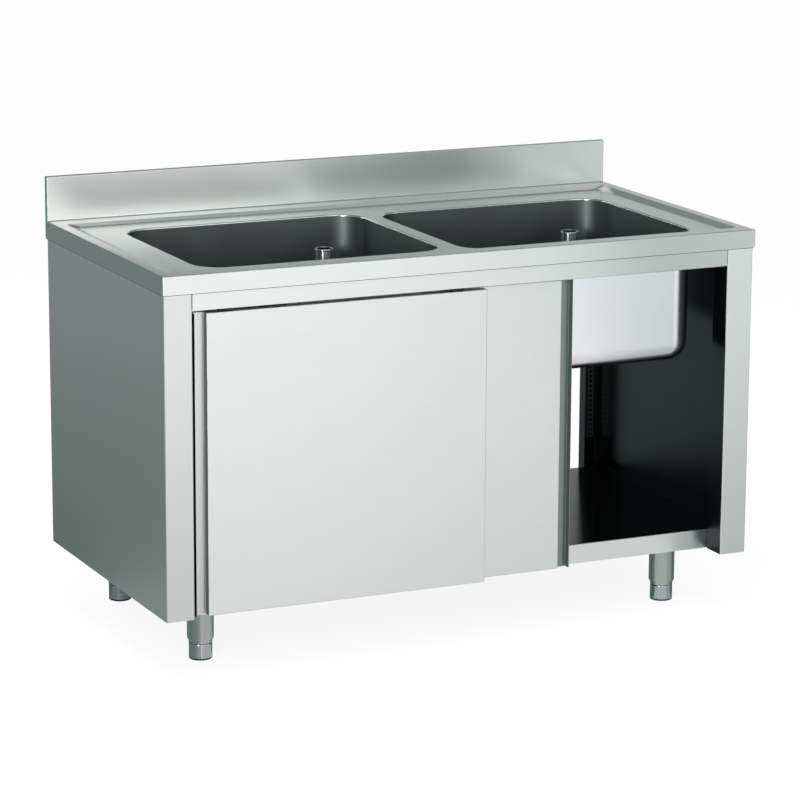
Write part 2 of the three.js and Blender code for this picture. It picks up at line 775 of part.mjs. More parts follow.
function addWorktop() {
  addPiece(unit, 'worktop', worktop(), 'steel');
  addPiece(unit, 'worktop_centre_brace', centreBrace(), 'steel');
}

function addBowls() {
  for (const [side, place] of Object.entries(BOWLS)) {
    addPiece(unit, `bowl_${side}`, bowl(), 'bowlSteel', [place.x, place.y, 0]);
    const drain = addGroup(
      place.x + BOWL_LENGTH - DRAIN_FROM_SIDE, place.y + BOWL_BREADTH - DRAIN_FROM_BACK, bowlFloor);
    addPiece(drain, `waste_body_${side}`, wasteBody(), 'polishedSteel');
    addPiece(drain, `waste_gasket_${side}`, wasteGasket(), 'rubber');
    addPiece(drain, `waste_nut_${side}`, wasteNut(), 'plastic');
    addPiece(drain, `standpipe_tube_${side}`, standpipeTube(), 'polishedSteel');
    addPiece(drain, `standpipe_seal_${side}`, standpipeSeal(), 'rubber');
  }
}

function addBody() {
  addPiece(unit, 'side_panel_left', sidePanel(-1), 'steel');
  addPiece(unit, 'side_panel_right', sidePanel(1), 'steel');
  addPiece(unit, 'front_top_rail', frontTopRail(), 'steel');
  addPiece(unit, 'rear_top_rail', rearTopRail(), 'steel');
  addPiece(unit, 'bottom_shelf', bottomShelf(), 'steel');
  addPiece(unit, 'shelf_stiffener', shelfStiffener(), 'steel');
  const rackX = right - PANEL_INSET - BODY_SHEET - RACK_SIDE_GAP - RACK_WIDTH / 2;
  addPiece(unit, 'shelf_rack_left', shelfRack(), 'steel', [-rackX, 0, 0]);
  addPiece(unit, 'shelf_rack_right', shelfRack(), 'steel', [rackX, 0, 0]);
}

function addTracks() {
  const stopFace = openingRight - DOOR_END_GAP - ROLLER_INSET + ROLLER_RADIUS + SEAT_GAP;
  for (const [name, door] of Object.entries(DOORS)) {
    addPiece(unit, `track_${name}`, track(door), 'steel');
    addPiece(unit, `track_stop_${name}_left`, trackStop(), 'rubber', [-stopFace - STOP_LENGTH, door.y, 0]);
    addPiece(unit, `track_stop_${name}_right`, trackStop(), 'rubber', [stopFace, door.y, 0]);
  }
  const guideX = doorWidth / 4;
  addPiece(unit, 'guide_block_left', guideBlock(), 'nylon', [-guideX, 0, 0]);
  addPiece(unit, 'guide_block_right', guideBlock(), 'nylon', [guideX, 0, 0]);
}

function addDoors() {
  for (const [name, door] of Object.entries(DOORS)) {
    const leaf = addGroup(door.x, door.y, 0);
    addPiece(leaf, `${name}_door_skin`, doorSkin(door.gripSide), 'steel');
    addPiece(leaf, `${name}_door_grip`, doorGrip(door.gripSide), 'steel');
    addPiece(leaf, `${name}_door_back`, doorBack(door.gripSide), 'steel');
    addPiece(leaf, `${name}_door_core`, doorCore(door.gripSide), 'board');
    const ends = { left: ROLLER_INSET, right: doorWidth - ROLLER_INSET };
    for (const [end, x] of Object.entries(ends)) {
      addPiece(leaf, `${name}_door_hanger_${end}`, doorHanger(), 'steel', [x, 0, 0]);
      addPiece(leaf, `${name}_door_roller_${end}`, roller(), 'nylon', [x, rollerFace, axleHeight]);
    }
    if (name === 'front') addPiece(leaf, 'front_door_glide', doorGlide(), 'nylon');
  }
}

function addLegs() {
  const rows = { front: front + LEG_FRONT_INSET, back: back - LEG_BACK_INSET };
  const columns = { left: left + LEG_END_INSET, right: right - LEG_END_INSET };
  for (const [row, y] of Object.entries(rows)) {
    for (const [column, x] of Object.entries(columns)) {
      const place = addGroup(x, y, 0);
      addPiece(place, `leg_${row}_${column}`, leg(), 'steel');
      addPiece(place, `foot_${row}_${column}`, foot(), 'polishedSteel');
      addPiece(place, `foot_tip_${row}_${column}`, footTip(), 'plastic');
    }
  }
}

addWorktop();
addBowls();
addBody();
addTracks();
addDoors();
addLegs();

export default unit;
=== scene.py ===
"""Catering sink unit in folded stainless steel: the finished look, on the CAD frame.

Metres, +Z up, front towards -Y, origin on the floor under the middle of the worktop.
"""

import math

import bmesh
import bpy
import numpy as np
from mathutils import Matrix, Vector
from mathutils.geometry import tessellate_polygon


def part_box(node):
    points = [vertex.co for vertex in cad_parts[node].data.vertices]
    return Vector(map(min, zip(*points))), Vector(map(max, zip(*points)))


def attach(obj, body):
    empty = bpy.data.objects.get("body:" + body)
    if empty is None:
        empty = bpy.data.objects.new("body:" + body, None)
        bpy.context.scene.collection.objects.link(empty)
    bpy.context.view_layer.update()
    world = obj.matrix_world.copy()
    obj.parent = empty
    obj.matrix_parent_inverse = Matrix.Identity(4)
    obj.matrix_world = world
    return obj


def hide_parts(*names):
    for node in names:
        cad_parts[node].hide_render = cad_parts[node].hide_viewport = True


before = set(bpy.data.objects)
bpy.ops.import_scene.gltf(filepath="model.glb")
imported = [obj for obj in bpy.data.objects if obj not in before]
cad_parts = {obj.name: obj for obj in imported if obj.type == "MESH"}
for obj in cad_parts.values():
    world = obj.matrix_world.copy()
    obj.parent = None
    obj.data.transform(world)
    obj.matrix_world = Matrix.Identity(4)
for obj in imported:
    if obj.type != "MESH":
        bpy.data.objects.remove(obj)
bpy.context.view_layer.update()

bl_info = {
    "name": "Catering sink unit",
    "version": (1, 0, 0),
    "blender": (4, 5, 0),
    "location": "3D View > Sidebar > Sink unit",
    "description": "Builds a stainless steel sink unit with sliding doors, piece by piece",
    "category": "Add Mesh",
}

SEAT_GAP = 0.0003  # between pieces that rest on each other
SHARP_ANGLE = math.radians(35)
MERGE_DISTANCE = 1e-6  # points closer than this become one
SMALLEST_CORNER = 0.0002  # so that no rounded corner shrinks to a point
THIN_EDGE = 0.0003  # on cut sheet and on turned steel
BLOCK_EDGE = 0.0012  # on nylon blocks
TIGHT_BEND = 0.002  # outside radius of the bends in doors and tracks
CORNER_SHARE = 1.3  # how much rounder a block's upright corners are than its edges

# Steps along curves
ROUND_STEPS = 48  # once round a turned shape
SCREW_STEPS = 20
AXLE_STEPS = 24
EDGE_POINTS = 5  # on a small quarter circle
BEND_POINTS = 6  # on the worktop's bends
FILLET_POINTS = 7  # on the fillet at the upstand's foot
DECK_CORNER_STEPS = 8
BOWL_CORNER_STEPS = 12  # the deck's edge and the bowl keep the same

# Places in a piece's list of finishes
# In the cupboard's pieces the finish at INNER is a dark one that is painted shade; some outer faces
# that lie in shade take it too.
OUTER, INNER = 0, 1  # the two faces of a sheet
# The finger pull's wall takes the dark panel finish, which is painted shade.
CHANNEL_PAINTED_SHADE = 2  # the wall of a door's finger pull
SCREW = 1  # on a guide block
RUBBER, DECK, UPSTAND = 1, 2, 3  # on the worktop

# The second of these is a dark finish that is painted shade.
TWO_SIDED = ["ground_sheet", "rolled_sheet_painted_shade"]  # finishes of most sheets

UP = np.array([0.0, 0.0, 1.0])
BACKWARDS = np.array([0.0, 1.0, 0.0])


# ------------------------------------------------------------------ Colours


def linear(hex_colour):
    """An sRGB hex colour as the linear red, green and blue that a shader works with."""
    parts = np.array([int(hex_colour[i:i + 2], 16) for i in (1, 3, 5)]) / 255
    curved = ((parts + 0.055) / 1.055) ** 2.4
    return tuple(np.where(parts <= 0.04045, parts / 12.92, curved).tolist())


# ------------------------------------------------------------------ What a user may change


def length(name, description, millimetres):
    """A size that a user may change, given here in millimetres."""
    return bpy.props.FloatProperty(
        name=name, description=description, default=millimetres / 1000, min=0, unit="LENGTH",
        precision=4)


def colour(name, description, hex_colour):
    """A colour that a user may change, given here as an sRGB hex value."""
    return bpy.props.FloatVectorProperty(
        name=name, description=description, default=linear(hex_colour), min=0, max=1, size=3,
        subtype="COLOR")


class SinkUnitSizes(bpy.types.PropertyGroup):
    top_sheet: length("Worktop sheet", "Thickness of the worktop's sheet", 1.5)
    body_sheet: length("Body sheet", "Thickness of all other sheet", 1.2)
    top_bend: length("Worktop bend", "Outside radius of the worktop's folded edges", 2)
    body_bend: length("Body bend", "Outside radius of the bends in the cupboard's sheets", 2.4)
    recess_drop: length("Recess", "How far the worktop's middle lies below its rim", 7)
    recess_corner: length("Recess corner", "Radius of the recess's corners, seen from above", 12)
    rim_front: length("Front rim", "From the front edge to the recess", 38)
    rim_back: length("Back rim", "From the upstand to the recess", 53)
    rim_end: length("End rim", "From the ends to the recess", 24)
    slope_long: length("Long slope", "Run of the recess's wall at the front and back", 4)
    slope_end: length("End slope", "Run of the recess's wall at the ends", 24)
    upstand_depth: length("Upstand depth", "Thickness of the upstand, front to back", 15)
    upstand_fillet: length("Upstand fillet", "Radius at the upstand's foot", 2.5)
    lip_radius: length("Lip radius", "Radius of the deck's edge where it turns into a bowl", 2.8)
    bowl_flange: length("Bowl flange", "How far a bowl reaches past its opening", 9.2)
    bowl_corner: length("Bowl corner", "Radius of a bowl's upright corners", 65)
    bowl_fillet: length("Bowl fillet", "Radius between a bowl's walls and its floor", 40)
    bowl_fall: length("Bowl fall", "How far a bowl's floor falls to its drain", 2.5)
    stile_width: length("Stile width", "Width of the side panels' front faces", 63)
    stile_depth: length("Stile depth", "Depth of the side panels' boxed fronts", 62)
    rail_gap: length("Rail gap", "Between the front rail's ends and the stiles", 0.8)
    stile_return: length("Stile return", "Width of the fold that closes a stile's back", 40)
    post_width: length("Post width", "Width of the side panels' back posts", 47)
    post_depth: length("Post depth", "Depth of the side panels' back posts", 31)
    top_flange: length("Panel top flange", "Width of a side panel's flange under the worktop", 57)
    foot_flange: length("Panel foot flange", "Width of a side panel's flange under the shelf", 30)
    grip_depth: length("Grip depth", "Depth of the finger pull in a door's end", 14.5)
    grip_return: length("Grip return", "Width of the skin's fold in the finger pull", 4)
    track_lip: length("Track lip", "Height of the lip that keeps a roller on its track", 5)
    tube_wall: length("Leg wall", "Thickness of a leg's tube", 1.5)
    foot_radius: length("Foot radius", "Radius of a foot's cup", 25.4)


class SinkUnitColours(bpy.types.PropertyGroup):
    satin: colour("Satin steel", "Ground sheet on the outside", "#E6E8E6")
    # A darker copy of the satin colour, which is painted shade.
    across: colour("Narrow folds", "Ground sheet seen along its grain", "#8C9491")
    # A dark colour that is painted shade, for sheet in the cupboard and in other shaded places.
    inside: colour("Inside sheet", "The same sheet's other face, in the cupboard", "#33363B")
    # A dark colour that is painted shade, a little lighter than the inside sheet's.
    panel_inside: colour("Panel inside", "The inner face of the side panels", "#3E4145")
    # Darker than the steel, which is painted shade.
    bowl: colour("Bowl inside", "Drawn and dull-polished steel", "#84898A")
    # Lightened to near white, which is painted light on the bowls' pale tint.
    bowl_outside: colour("Bowl outside", "Bare outside of the drawn bowls", "#F9F8FC")
    tube: colour("Leg tube", "Ground tube", "#B9C1BD")
    bright: colour("Bright steel", "Buffed feet, wastes and screws", "#B6BEBF")
    # Lighter than the buffed steel, which is painted highlight.
    polished: colour("Polished tube", "The standpipes", "#E9EDED")
    nylon: colour("Nylon", "Rollers, glide and guide blocks", "#E6E4DC")
    rubber: colour("Rubber", "Seals, gaskets and door stops", "#1C1D1E")
    plastic: colour("Black plastic", "Foot tips and waste nuts", "#202224")
    board: colour("Fibre board", "Filling of the doors", "#B99A6B")
    floor: colour("Floor", "The studio floor", "#F4F4F4")


# ------------------------------------------------------------------ Surfaces


def quads(rows, columns, wrap_rows=False, wrap_columns=False):
    """Four-sided faces on a grid of points that is numbered row by row.

    Each face joins point (row, column) with its next in the row, the one diagonally on, and the
    next in the column. A wrapped direction also joins its last points with its first."""
    i, j = np.meshgrid(
        np.arange(rows if wrap_rows else rows - 1),
        np.arange(columns if wrap_columns else columns - 1), indexing="ij")
    next_i, next_j = (i + 1) % rows, (j + 1) % columns
    faces = np.stack([
        i * columns + j, i * columns + next_j, next_i * columns + next_j, next_i * columns + j], -1)
    return faces.reshape(-1, 4)


def rounded_path(points, radius, steps=5):
    """A line through points in a plane with its corners rounded, and the normal on its left.

    At a corner the direction swings evenly from the line that comes in to the line that goes
    out, and the point lies on a circle: centre minus (turn times radius times normal)."""
    points = np.asarray(points, float)
    along = np.diff(points, axis=0)
    along /= np.linalg.norm(along, axis=1)[:, None]
    before, after = along[:-1], along[1:]
    turn = np.sign(before[:, 0] * after[:, 1] - before[:, 1] * after[:, 0])
    angle = np.arccos(np.clip((before * after).sum(1), -1, 1))
    radius = np.broadcast_to(radius, angle.shape)
    share = np.linspace(0, 1, steps + 1)[None, :, None]
    swing = angle[:, None, None]
    heading = (
        np.sin((1 - share) * swing) * before[:, None] + np.sin(share * swing) * after[:, None])
    heading /= np.sin(swing)
    normal = np.stack([-heading[..., 1], heading[..., 0]], -1)
    start = points[1:-1] - before * (radius * np.tan(angle / 2))[:, None]
    reach = (turn * radius)[:, None, None]
    arcs = start[:, None] + reach * (normal[:, :1] - normal)
    ends = np.stack([-along[[0, -1], 1], along[[0, -1], 0]], -1)
    return (
        np.concatenate([points[:1], arcs.reshape(-1, 2), points[-1:]]),
        np.concatenate([ends[:1], normal.reshape(-1, 2), ends[1:]]))


def folded_sheet(path, sheet, bend, start, end, plane, side):
    """A sheet bent along a path and carried straight from start to end.

    The path, with each corner an arc of the bend's radius, is the outer face. The inner face is
    the path moved by the sheet's thickness along its left normal (side 1) or right one (-1).
    Plane names the two axes of the path; the sheet is carried along the third."""
    outer, normal = rounded_path(path, bend)
    inner = outer + side * sheet * normal
    ring = np.empty((len(outer), 4, 3))
    across, up = "xyz".index(plane[0]), "xyz".index(plane[1])
    flat = np.stack([outer, outer, inner, inner], 1)
    ring[..., across], ring[..., up] = flat[..., 0], flat[..., 1]
    ring[..., 3 - across - up] = np.array([start, end, end, start])
    faces = quads(len(outer), 4, wrap_columns=True).reshape(-1, 4, 4)
    last = 4 * (len(outer) - 1)
    ends = np.array([[3, 2, 1, 0], [last, last + 1, last + 2, last + 3]])
    outside = np.concatenate([faces[:, [0, 1, 3]].reshape(-1, 4), ends])
    return ring.reshape(-1, 3), [(outside, OUTER), (faces[:, 2], INNER)]


def outlines(sides, radius, height, steps=6):
    """Rounded rectangles, one above the other: four quarter circles joined by straight lines.

    A row of sides is the lowest x, lowest y, highest x and highest y."""
    sides = np.asarray(sides, float)
    rows = len(sides)
    radius = np.maximum(np.broadcast_to(radius, rows), SMALLEST_CORNER)[:, None]
    x0, y0, x1, y1 = (sides[:, i:i + 1] for i in range(4))
    centre_x = np.concatenate([x1 - radius, x1 - radius, x0 + radius, x0 + radius], 1)[..., None]
    centre_y = np.concatenate([y0 + radius, y1 - radius, y1 - radius, y0 + radius], 1)[..., None]
    angle = np.radians(np.array([-90, 0, 90, 180])[:, None] + np.linspace(0, 90, steps + 1))
    x = centre_x + radius[..., None] * np.cos(angle)
    y = centre_y + radius[..., None] * np.sin(angle)
    z = np.broadcast_to(np.broadcast_to(height, rows)[:, None, None], x.shape)
    return np.stack([x, y, z], -1).reshape(rows, -1, 3)


def inset(sides, amount):
    """The four sides of a rectangle moved inwards by each amount: one row for each."""
    return np.asarray(sides, float) + np.asarray(amount, float)[:, None] * np.array([1, 1, -1, -1])


def loft(rows, ring=False, inner_from=None):
    """A skin over rows of points that are all closed outlines with the same count.

    The first and last row are closed by flat faces, or joined to each other in a ring. Faces
    from row inner_from on take the second material."""
    count = rows.shape[1]
    faces = quads(len(rows), count, wrap_rows=ring, wrap_columns=True).reshape(-1, count, 4)
    split = len(rows) if inner_from is None else inner_from
    groups = [(faces[:split].reshape(-1, 4), OUTER), (faces[split:].reshape(-1, 4), INNER)]
    if not ring:
        first = np.arange(count)[None]
        last = first + count * (len(rows) - 1)
        groups += [(first, OUTER), (last, OUTER if inner_from is None else INNER)]
    return rows.reshape(-1, 3), groups


def quarter_turn(points):
    """Angles from 0 to 90 degrees, in radians."""
    return np.radians(np.linspace(0, 90, points))


def pan(sides, face, depth, sheet, bend, corner, towards, axes=(0, 1, 2)):
    """A shallow tray: a flat face, folded round its four edges, with the sheet's thickness.

    Rows of rounded rectangles run from the middle of the face over a quarter circle (inset is
    bend times one minus sine, depth is bend times one minus cosine), down the wall, round its
    edge and back along the inside. Towards is 1 or -1, the way in which the walls run."""
    t = quarter_turn(EDGE_POINTS)
    inner = bend - sheet
    amount = np.concatenate([
        bend * (1 - np.sin(t)), [0, sheet], (bend - inner * np.sin(t))[::-1]])
    down = np.concatenate([
        bend * (1 - np.cos(t)), [depth, depth], (bend - inner * np.cos(t))[::-1]])
    rows = outlines(inset(sides, amount), corner - amount, face + towards * down, steps=3)
    return loft(rows[..., axes], inner_from=len(t) + 1)


def rounded_block(low, high, edge, foot_edge=None, axes=(0, 1, 2)):
    """A block whose edges are quarter circles, with rounder upright corners.

    Its ends lie at the lowest and highest third axis."""
    foot_edge = edge if foot_edge is None else foot_edge
    t = quarter_turn(EDGE_POINTS)
    sides = [low[0], low[1], high[0], high[1]]
    amount = np.concatenate([foot_edge * (1 - np.sin(t)), (edge * (1 - np.sin(t)))[::-1]])
    height = np.concatenate([
        low[2] + foot_edge * (1 - np.cos(t)), (high[2] - edge * (1 - np.cos(t)))[::-1]])
    corner = CORNER_SHARE * edge - (CORNER_SHARE - 1) * amount
    rows = outlines(inset(sides, amount), corner, height, steps=4)
    return loft(rows[..., axes])


def turned(profile, centre, axis=UP, ring=False, steps=ROUND_STEPS, inner_from=None):
    """A turned shape: each point of the profile (radius, height) goes once round the axis.

    Point = centre + height * axis + radius * (cosine * first + sine * second cross direction).
    A ring's profile closes on itself; another starts and ends on the axis. Faces from point
    inner_from on take the second material."""
    profile = np.asarray(profile, float)
    first = np.array([1.0, 0.0, 0.0])
    second = np.cross(axis, first)
    angle = np.linspace(0, 2 * np.pi, steps, endpoint=False)[None, :, None]
    radius, height = profile[:, None, :1], profile[:, None, 1:]
    outwards = np.cos(angle) * first + np.sin(angle) * second
    points = np.asarray(centre) + height * axis + radius * outwards
    faces = quads(len(profile), steps, wrap_rows=ring, wrap_columns=True)
    split = len(faces) if inner_from is None else inner_from * steps
    return points.reshape(-1, 3), [(faces[:split], OUTER), (faces[split:], INNER)]


def rounded_ring(corners, radius):
    """A closed profile with rounded corners. It starts halfway along its first side."""
    corners = np.asarray(corners, float)
    start = (corners[:1] + corners[1:2]) / 2
    closed = np.concatenate([start, corners[1:], corners[:1], start])
    return rounded_path(closed, radius, steps=3)[0][:-1]


def cap_screw(centre, axis, radius=0.004, height=0.0022):
    """A low domed screw head: a quarter circle, flattened, on a straight rim.

    Distance from the middle is radius times cosine. The rim takes its share of the height, and
    the dome the rest, times sine."""
    rim = 0.35
    t = quarter_turn(EDGE_POINTS)[::-1]
    dome = np.stack([radius * np.cos(t), height * (rim + (1 - rim) * np.sin(t))], -1)
    profile = np.concatenate([dome, [[radius, 0], [0, 0]]])
    profile[0, 0] = 0
    return turned(profile, centre, axis, steps=SCREW_STEPS)


def shifted(part, material):
    """The same part with all its faces in another material."""
    points, groups = part
    return points, [(faces, material) for faces, _ in groups]


# ------------------------------------------------------------------ Pieces


def ends(node):
    """The lowest and highest corner of a CAD node."""
    low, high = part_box(node)
    return np.array(low), np.array(high)


def middle(node):
    """The middle of a CAD node, seen from above, at height zero."""
    low, high = ends(node)
    return (low + high) / 2 * np.array([1, 1, 0])


def add_piece(node, body, finishes, parts):
    """Puts parts, each a closed surface, into one mesh that stands for a CAD node."""
    points, faces, materials, count = [], [], [], 0
    for part_points, groups in parts:
        for group, material in groups:
            faces += (np.asarray(group) + count).tolist()
            materials += [material] * len(group)
        points.append(part_points)
        count += len(part_points)
    mesh = bpy.data.meshes.new(f"{node}_finished")
    mesh.from_pydata(np.concatenate(points), [], faces)
    mesh.polygons.foreach_set("material_index", materials)
    for finish in finishes:
        mesh.materials.append(bpy.data.materials[finish])
    solid = bmesh.new()
    solid.from_mesh(mesh)
    bmesh.ops.remove_doubles(solid, verts=solid.verts, dist=MERGE_DISTANCE)
    bmesh.ops.recalc_face_normals(solid, faces=solid.faces)
    solid.to_mesh(mesh)
    solid.free()
    mesh.shade_smooth()
    mesh.set_sharp_from_angle(angle=SHARP_ANGLE)
    piece = bpy.data.objects.new(f"{node}_finished", mesh)
    bpy.context.scene.collection.objects.link(piece)
    weighted = piece.modifiers.new("Flat faces stay flat", "WEIGHTED_NORMAL")
    weighted.keep_sharp = True
    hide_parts(node)
    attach(piece, body)


def add_folded(node, path, bend, start, end, plane, side, s):
    """A piece of the cabinet that is one sheet bent along a path."""
    sheet = folded_sheet(path, s.body_sheet, bend, start, end, plane, side)
    add_piece(node, "cabinet", TWO_SIDED, [sheet])


def finish_node(node, finish):
    """Keeps a CAD node as it is and gives it one of the finishes."""
    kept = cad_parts[node]
    kept.data.materials.clear()
    kept.data.materials.append(bpy.data.materials[finish])


# ------------------------------------------------------------------ Materials


def add_node(tree, kind, settings=None, links=None):
    """Adds a node, sets its sockets or attributes, and links sockets to (node, output) pairs."""
    node = tree.nodes.new(kind)
    for key, value in (settings or {}).items():
        if isinstance(key, int) or key in node.inputs:
            node.inputs[key].default_value = value
        else:
            setattr(node, key, value)
    for key, (source, output) in (links or {}).items():
        tree.links.new(source.outputs[output], node.inputs[key])
    return node


def new_material(name):
    """An empty material and its node tree."""
    made = bpy.data.materials.new(name)
    made.use_nodes = True
    made.node_tree.nodes.clear()
    return made.node_tree


def shade(tone):
    """A colour with full opacity."""
    return (*tone, 1.0)


def darker(tone, share):
    """A colour times a share, with full opacity."""
    return (*(share * channel for channel in tone), 1.0)


# Directions across the scratches of ground steel, on upright and flat faces alike.
ACROSS_GRAIN = {"x": (0.0, 1.0, 1.0), "z": (1.0, 1.0, 0.0)}

# Ground steel, sizes in metres
SCRATCH_WIDTH = 0.0016
SCRATCH_LENGTH = 0.12
SCRATCH_RELIEF = 0.00003
HANDLING_SIZE = 0.06
BULGE_SIZE = 0.35
HANDLING_SHARE = 0.45  # of the patches, added to the scratches
NOISE_RANGE = {"From Min": 0.35, "From Max": 1.05}  # of that sum

# Drawn steel, sizes in metres
PEBBLE_SIZE = 0.0015
PEBBLE_RELIEF = 0.00002
PATCH_SIZE = 0.08


def ground_steel(name, tone, grain, roughness, spread, dulling=0.88, waves=0.0):
    """Stainless steel 1.4301, ground with a belt: fine scratches all run along one axis.

    The grain gives the eye soft streaks along it, and smears what it mirrors across it. The
    scratches are 0.05 mm apart; they are drawn 1.6 mm wide and 120 mm long so that they show.
    Handling leaves cloudy patches of 60 mm that are a little duller. Wide sheets also bulge by a
    few hundredths of a millimetre over 350 mm, which bends what they mirror."""
    tree = new_material(name)
    place = add_node(tree, "ShaderNodeTexCoord")
    scale = [1 / SCRATCH_WIDTH] * 3
    scale["xyz".index(grain)] = 1 / SCRATCH_LENGTH
    stretched = add_node(
        tree, "ShaderNodeMapping", {"Scale": scale}, {"Vector": (place, "Object")})
    scratches = add_node(
        tree, "ShaderNodeTexNoise", {"Scale": 1.0, "Detail": 3.0, "Roughness": 0.6},
        {"Vector": (stretched, "Vector")})
    clouds = add_node(
        tree, "ShaderNodeTexNoise",
        {"Scale": 1 / HANDLING_SIZE, "Detail": 2.0, "Roughness": 0.5, "Distortion": 0.4},
        {"Vector": (place, "Object")})
    mixed = add_node(
        tree, "ShaderNodeMath", {"operation": "MULTIPLY_ADD", 1: HANDLING_SHARE},
        {0: (clouds, "Fac"), 2: (scratches, "Fac")})
    rough = add_node(
        tree, "ShaderNodeMapRange",
        {**NOISE_RANGE, "To Min": roughness - spread, "To Max": roughness + spread},
        {"Value": (mixed, "Value")})
    dull = add_node(tree, "ShaderNodeMapRange", NOISE_RANGE, {"Value": (mixed, "Value")})
    base = add_node(
        tree, "ShaderNodeMix", {"data_type": "RGBA", 6: shade(tone), 7: darker(tone, dulling)},
        {0: (dull, "Result")})
    bulge = add_node(
        tree, "ShaderNodeTexNoise", {"Scale": 1 / BULGE_SIZE, "Detail": 0.0},
        {"Vector": (place, "Object")})
    sheet = add_node(
        tree, "ShaderNodeBump", {"Strength": 1.0, "Distance": waves}, {"Height": (bulge, "Fac")})
    relief = add_node(
        tree, "ShaderNodeBump", {"Strength": 0.06, "Distance": SCRATCH_RELIEF},
        {"Height": (scratches, "Fac"), "Normal": (sheet, "Normal")})
    x, y, z = ACROSS_GRAIN[grain]
    across = add_node(tree, "ShaderNodeCombineXYZ", {"X": x, "Y": y, "Z": z})
    shader = add_node(
        tree, "ShaderNodeBsdfPrincipled", {"Metallic": 1.0, "Anisotropic": 0.88},
        {"Base Color": (base, 2), "Roughness": (rough, "Result"), "Normal": (relief, "Normal"),
         "Tangent": (across, "Vector")})
    add_node(tree, "ShaderNodeOutputMaterial", links={"Surface": (shader, "BSDF")})


def drawn_steel(name, tone, roughness, smear):
    """Stainless steel sheet, deep-drawn or turned, then dressed with a pad in level strokes.

    It gives the eye a soft mirror with cloudy patches, smeared up and down by its share smear.
    The surface's pebbles are 0.1 mm across and are drawn 1.5 mm across."""
    spread, dulling = 0.06, 0.88
    tree = new_material(name)
    place = add_node(tree, "ShaderNodeTexCoord")
    pebbles = add_node(
        tree, "ShaderNodeTexNoise", {"Scale": 1 / PEBBLE_SIZE, "Detail": 2.0},
        {"Vector": (place, "Object")})
    clouds = add_node(
        tree, "ShaderNodeTexNoise", {"Scale": 1 / PATCH_SIZE, "Detail": 3.0},
        {"Vector": (place, "Object")})
    rough = add_node(
        tree, "ShaderNodeMapRange", {"To Min": roughness - spread, "To Max": roughness + spread},
        {"Value": (clouds, "Fac")})
    base = add_node(
        tree, "ShaderNodeMix", {"data_type": "RGBA", 6: shade(tone), 7: darker(tone, dulling)},
        {0: (clouds, "Fac")})
    relief = add_node(
        tree, "ShaderNodeBump", {"Strength": 0.2, "Distance": PEBBLE_RELIEF},
        {"Height": (pebbles, "Fac")})
    upright = add_node(tree, "ShaderNodeCombineXYZ", {"Z": 1.0})
    shader = add_node(
        tree, "ShaderNodeBsdfPrincipled", {"Metallic": 1.0, "Anisotropic": smear},
        {"Base Color": (base, 2), "Roughness": (rough, "Result"), "Normal": (relief, "Normal"),
         "Tangent": (upright, "Vector")})
    add_node(tree, "ShaderNodeOutputMaterial", links={"Surface": (shader, "BSDF")})


def moulded(name, tone, roughness, ior, grit, relief):
    """A moulded or pressed material without metal: one colour, slightly mottled, with a fine grit.

    It gives the eye a soft sheen that breaks up over the grit. Grit is its size and relief its
    height, in metres."""
    spread, dulling = 0.08, 0.82
    tree = new_material(name)
    place = add_node(tree, "ShaderNodeTexCoord")
    grains = add_node(
        tree, "ShaderNodeTexNoise", {"Scale": 1 / grit, "Detail": 3.0},
        {"Vector": (place, "Object")})
    base = add_node(
        tree, "ShaderNodeMix", {"data_type": "RGBA", 6: shade(tone), 7: darker(tone, dulling)},
        {0: (grains, "Fac")})
    rough = add_node(
        tree, "ShaderNodeMapRange",
        {"To Min": roughness - spread, "To Max": min(roughness + spread, 1.0)},
        {"Value": (grains, "Fac")})
    bump = add_node(
        tree, "ShaderNodeBump", {"Strength": 0.4, "Distance": relief}, {"Height": (grains, "Fac")})
    shader = add_node(
        tree, "ShaderNodeBsdfPrincipled", {"IOR": ior},
        {"Base Color": (base, 2), "Roughness": (rough, "Result"), "Normal": (bump, "Normal")})
    add_node(tree, "ShaderNodeOutputMaterial", links={"Surface": (shader, "BSDF")})


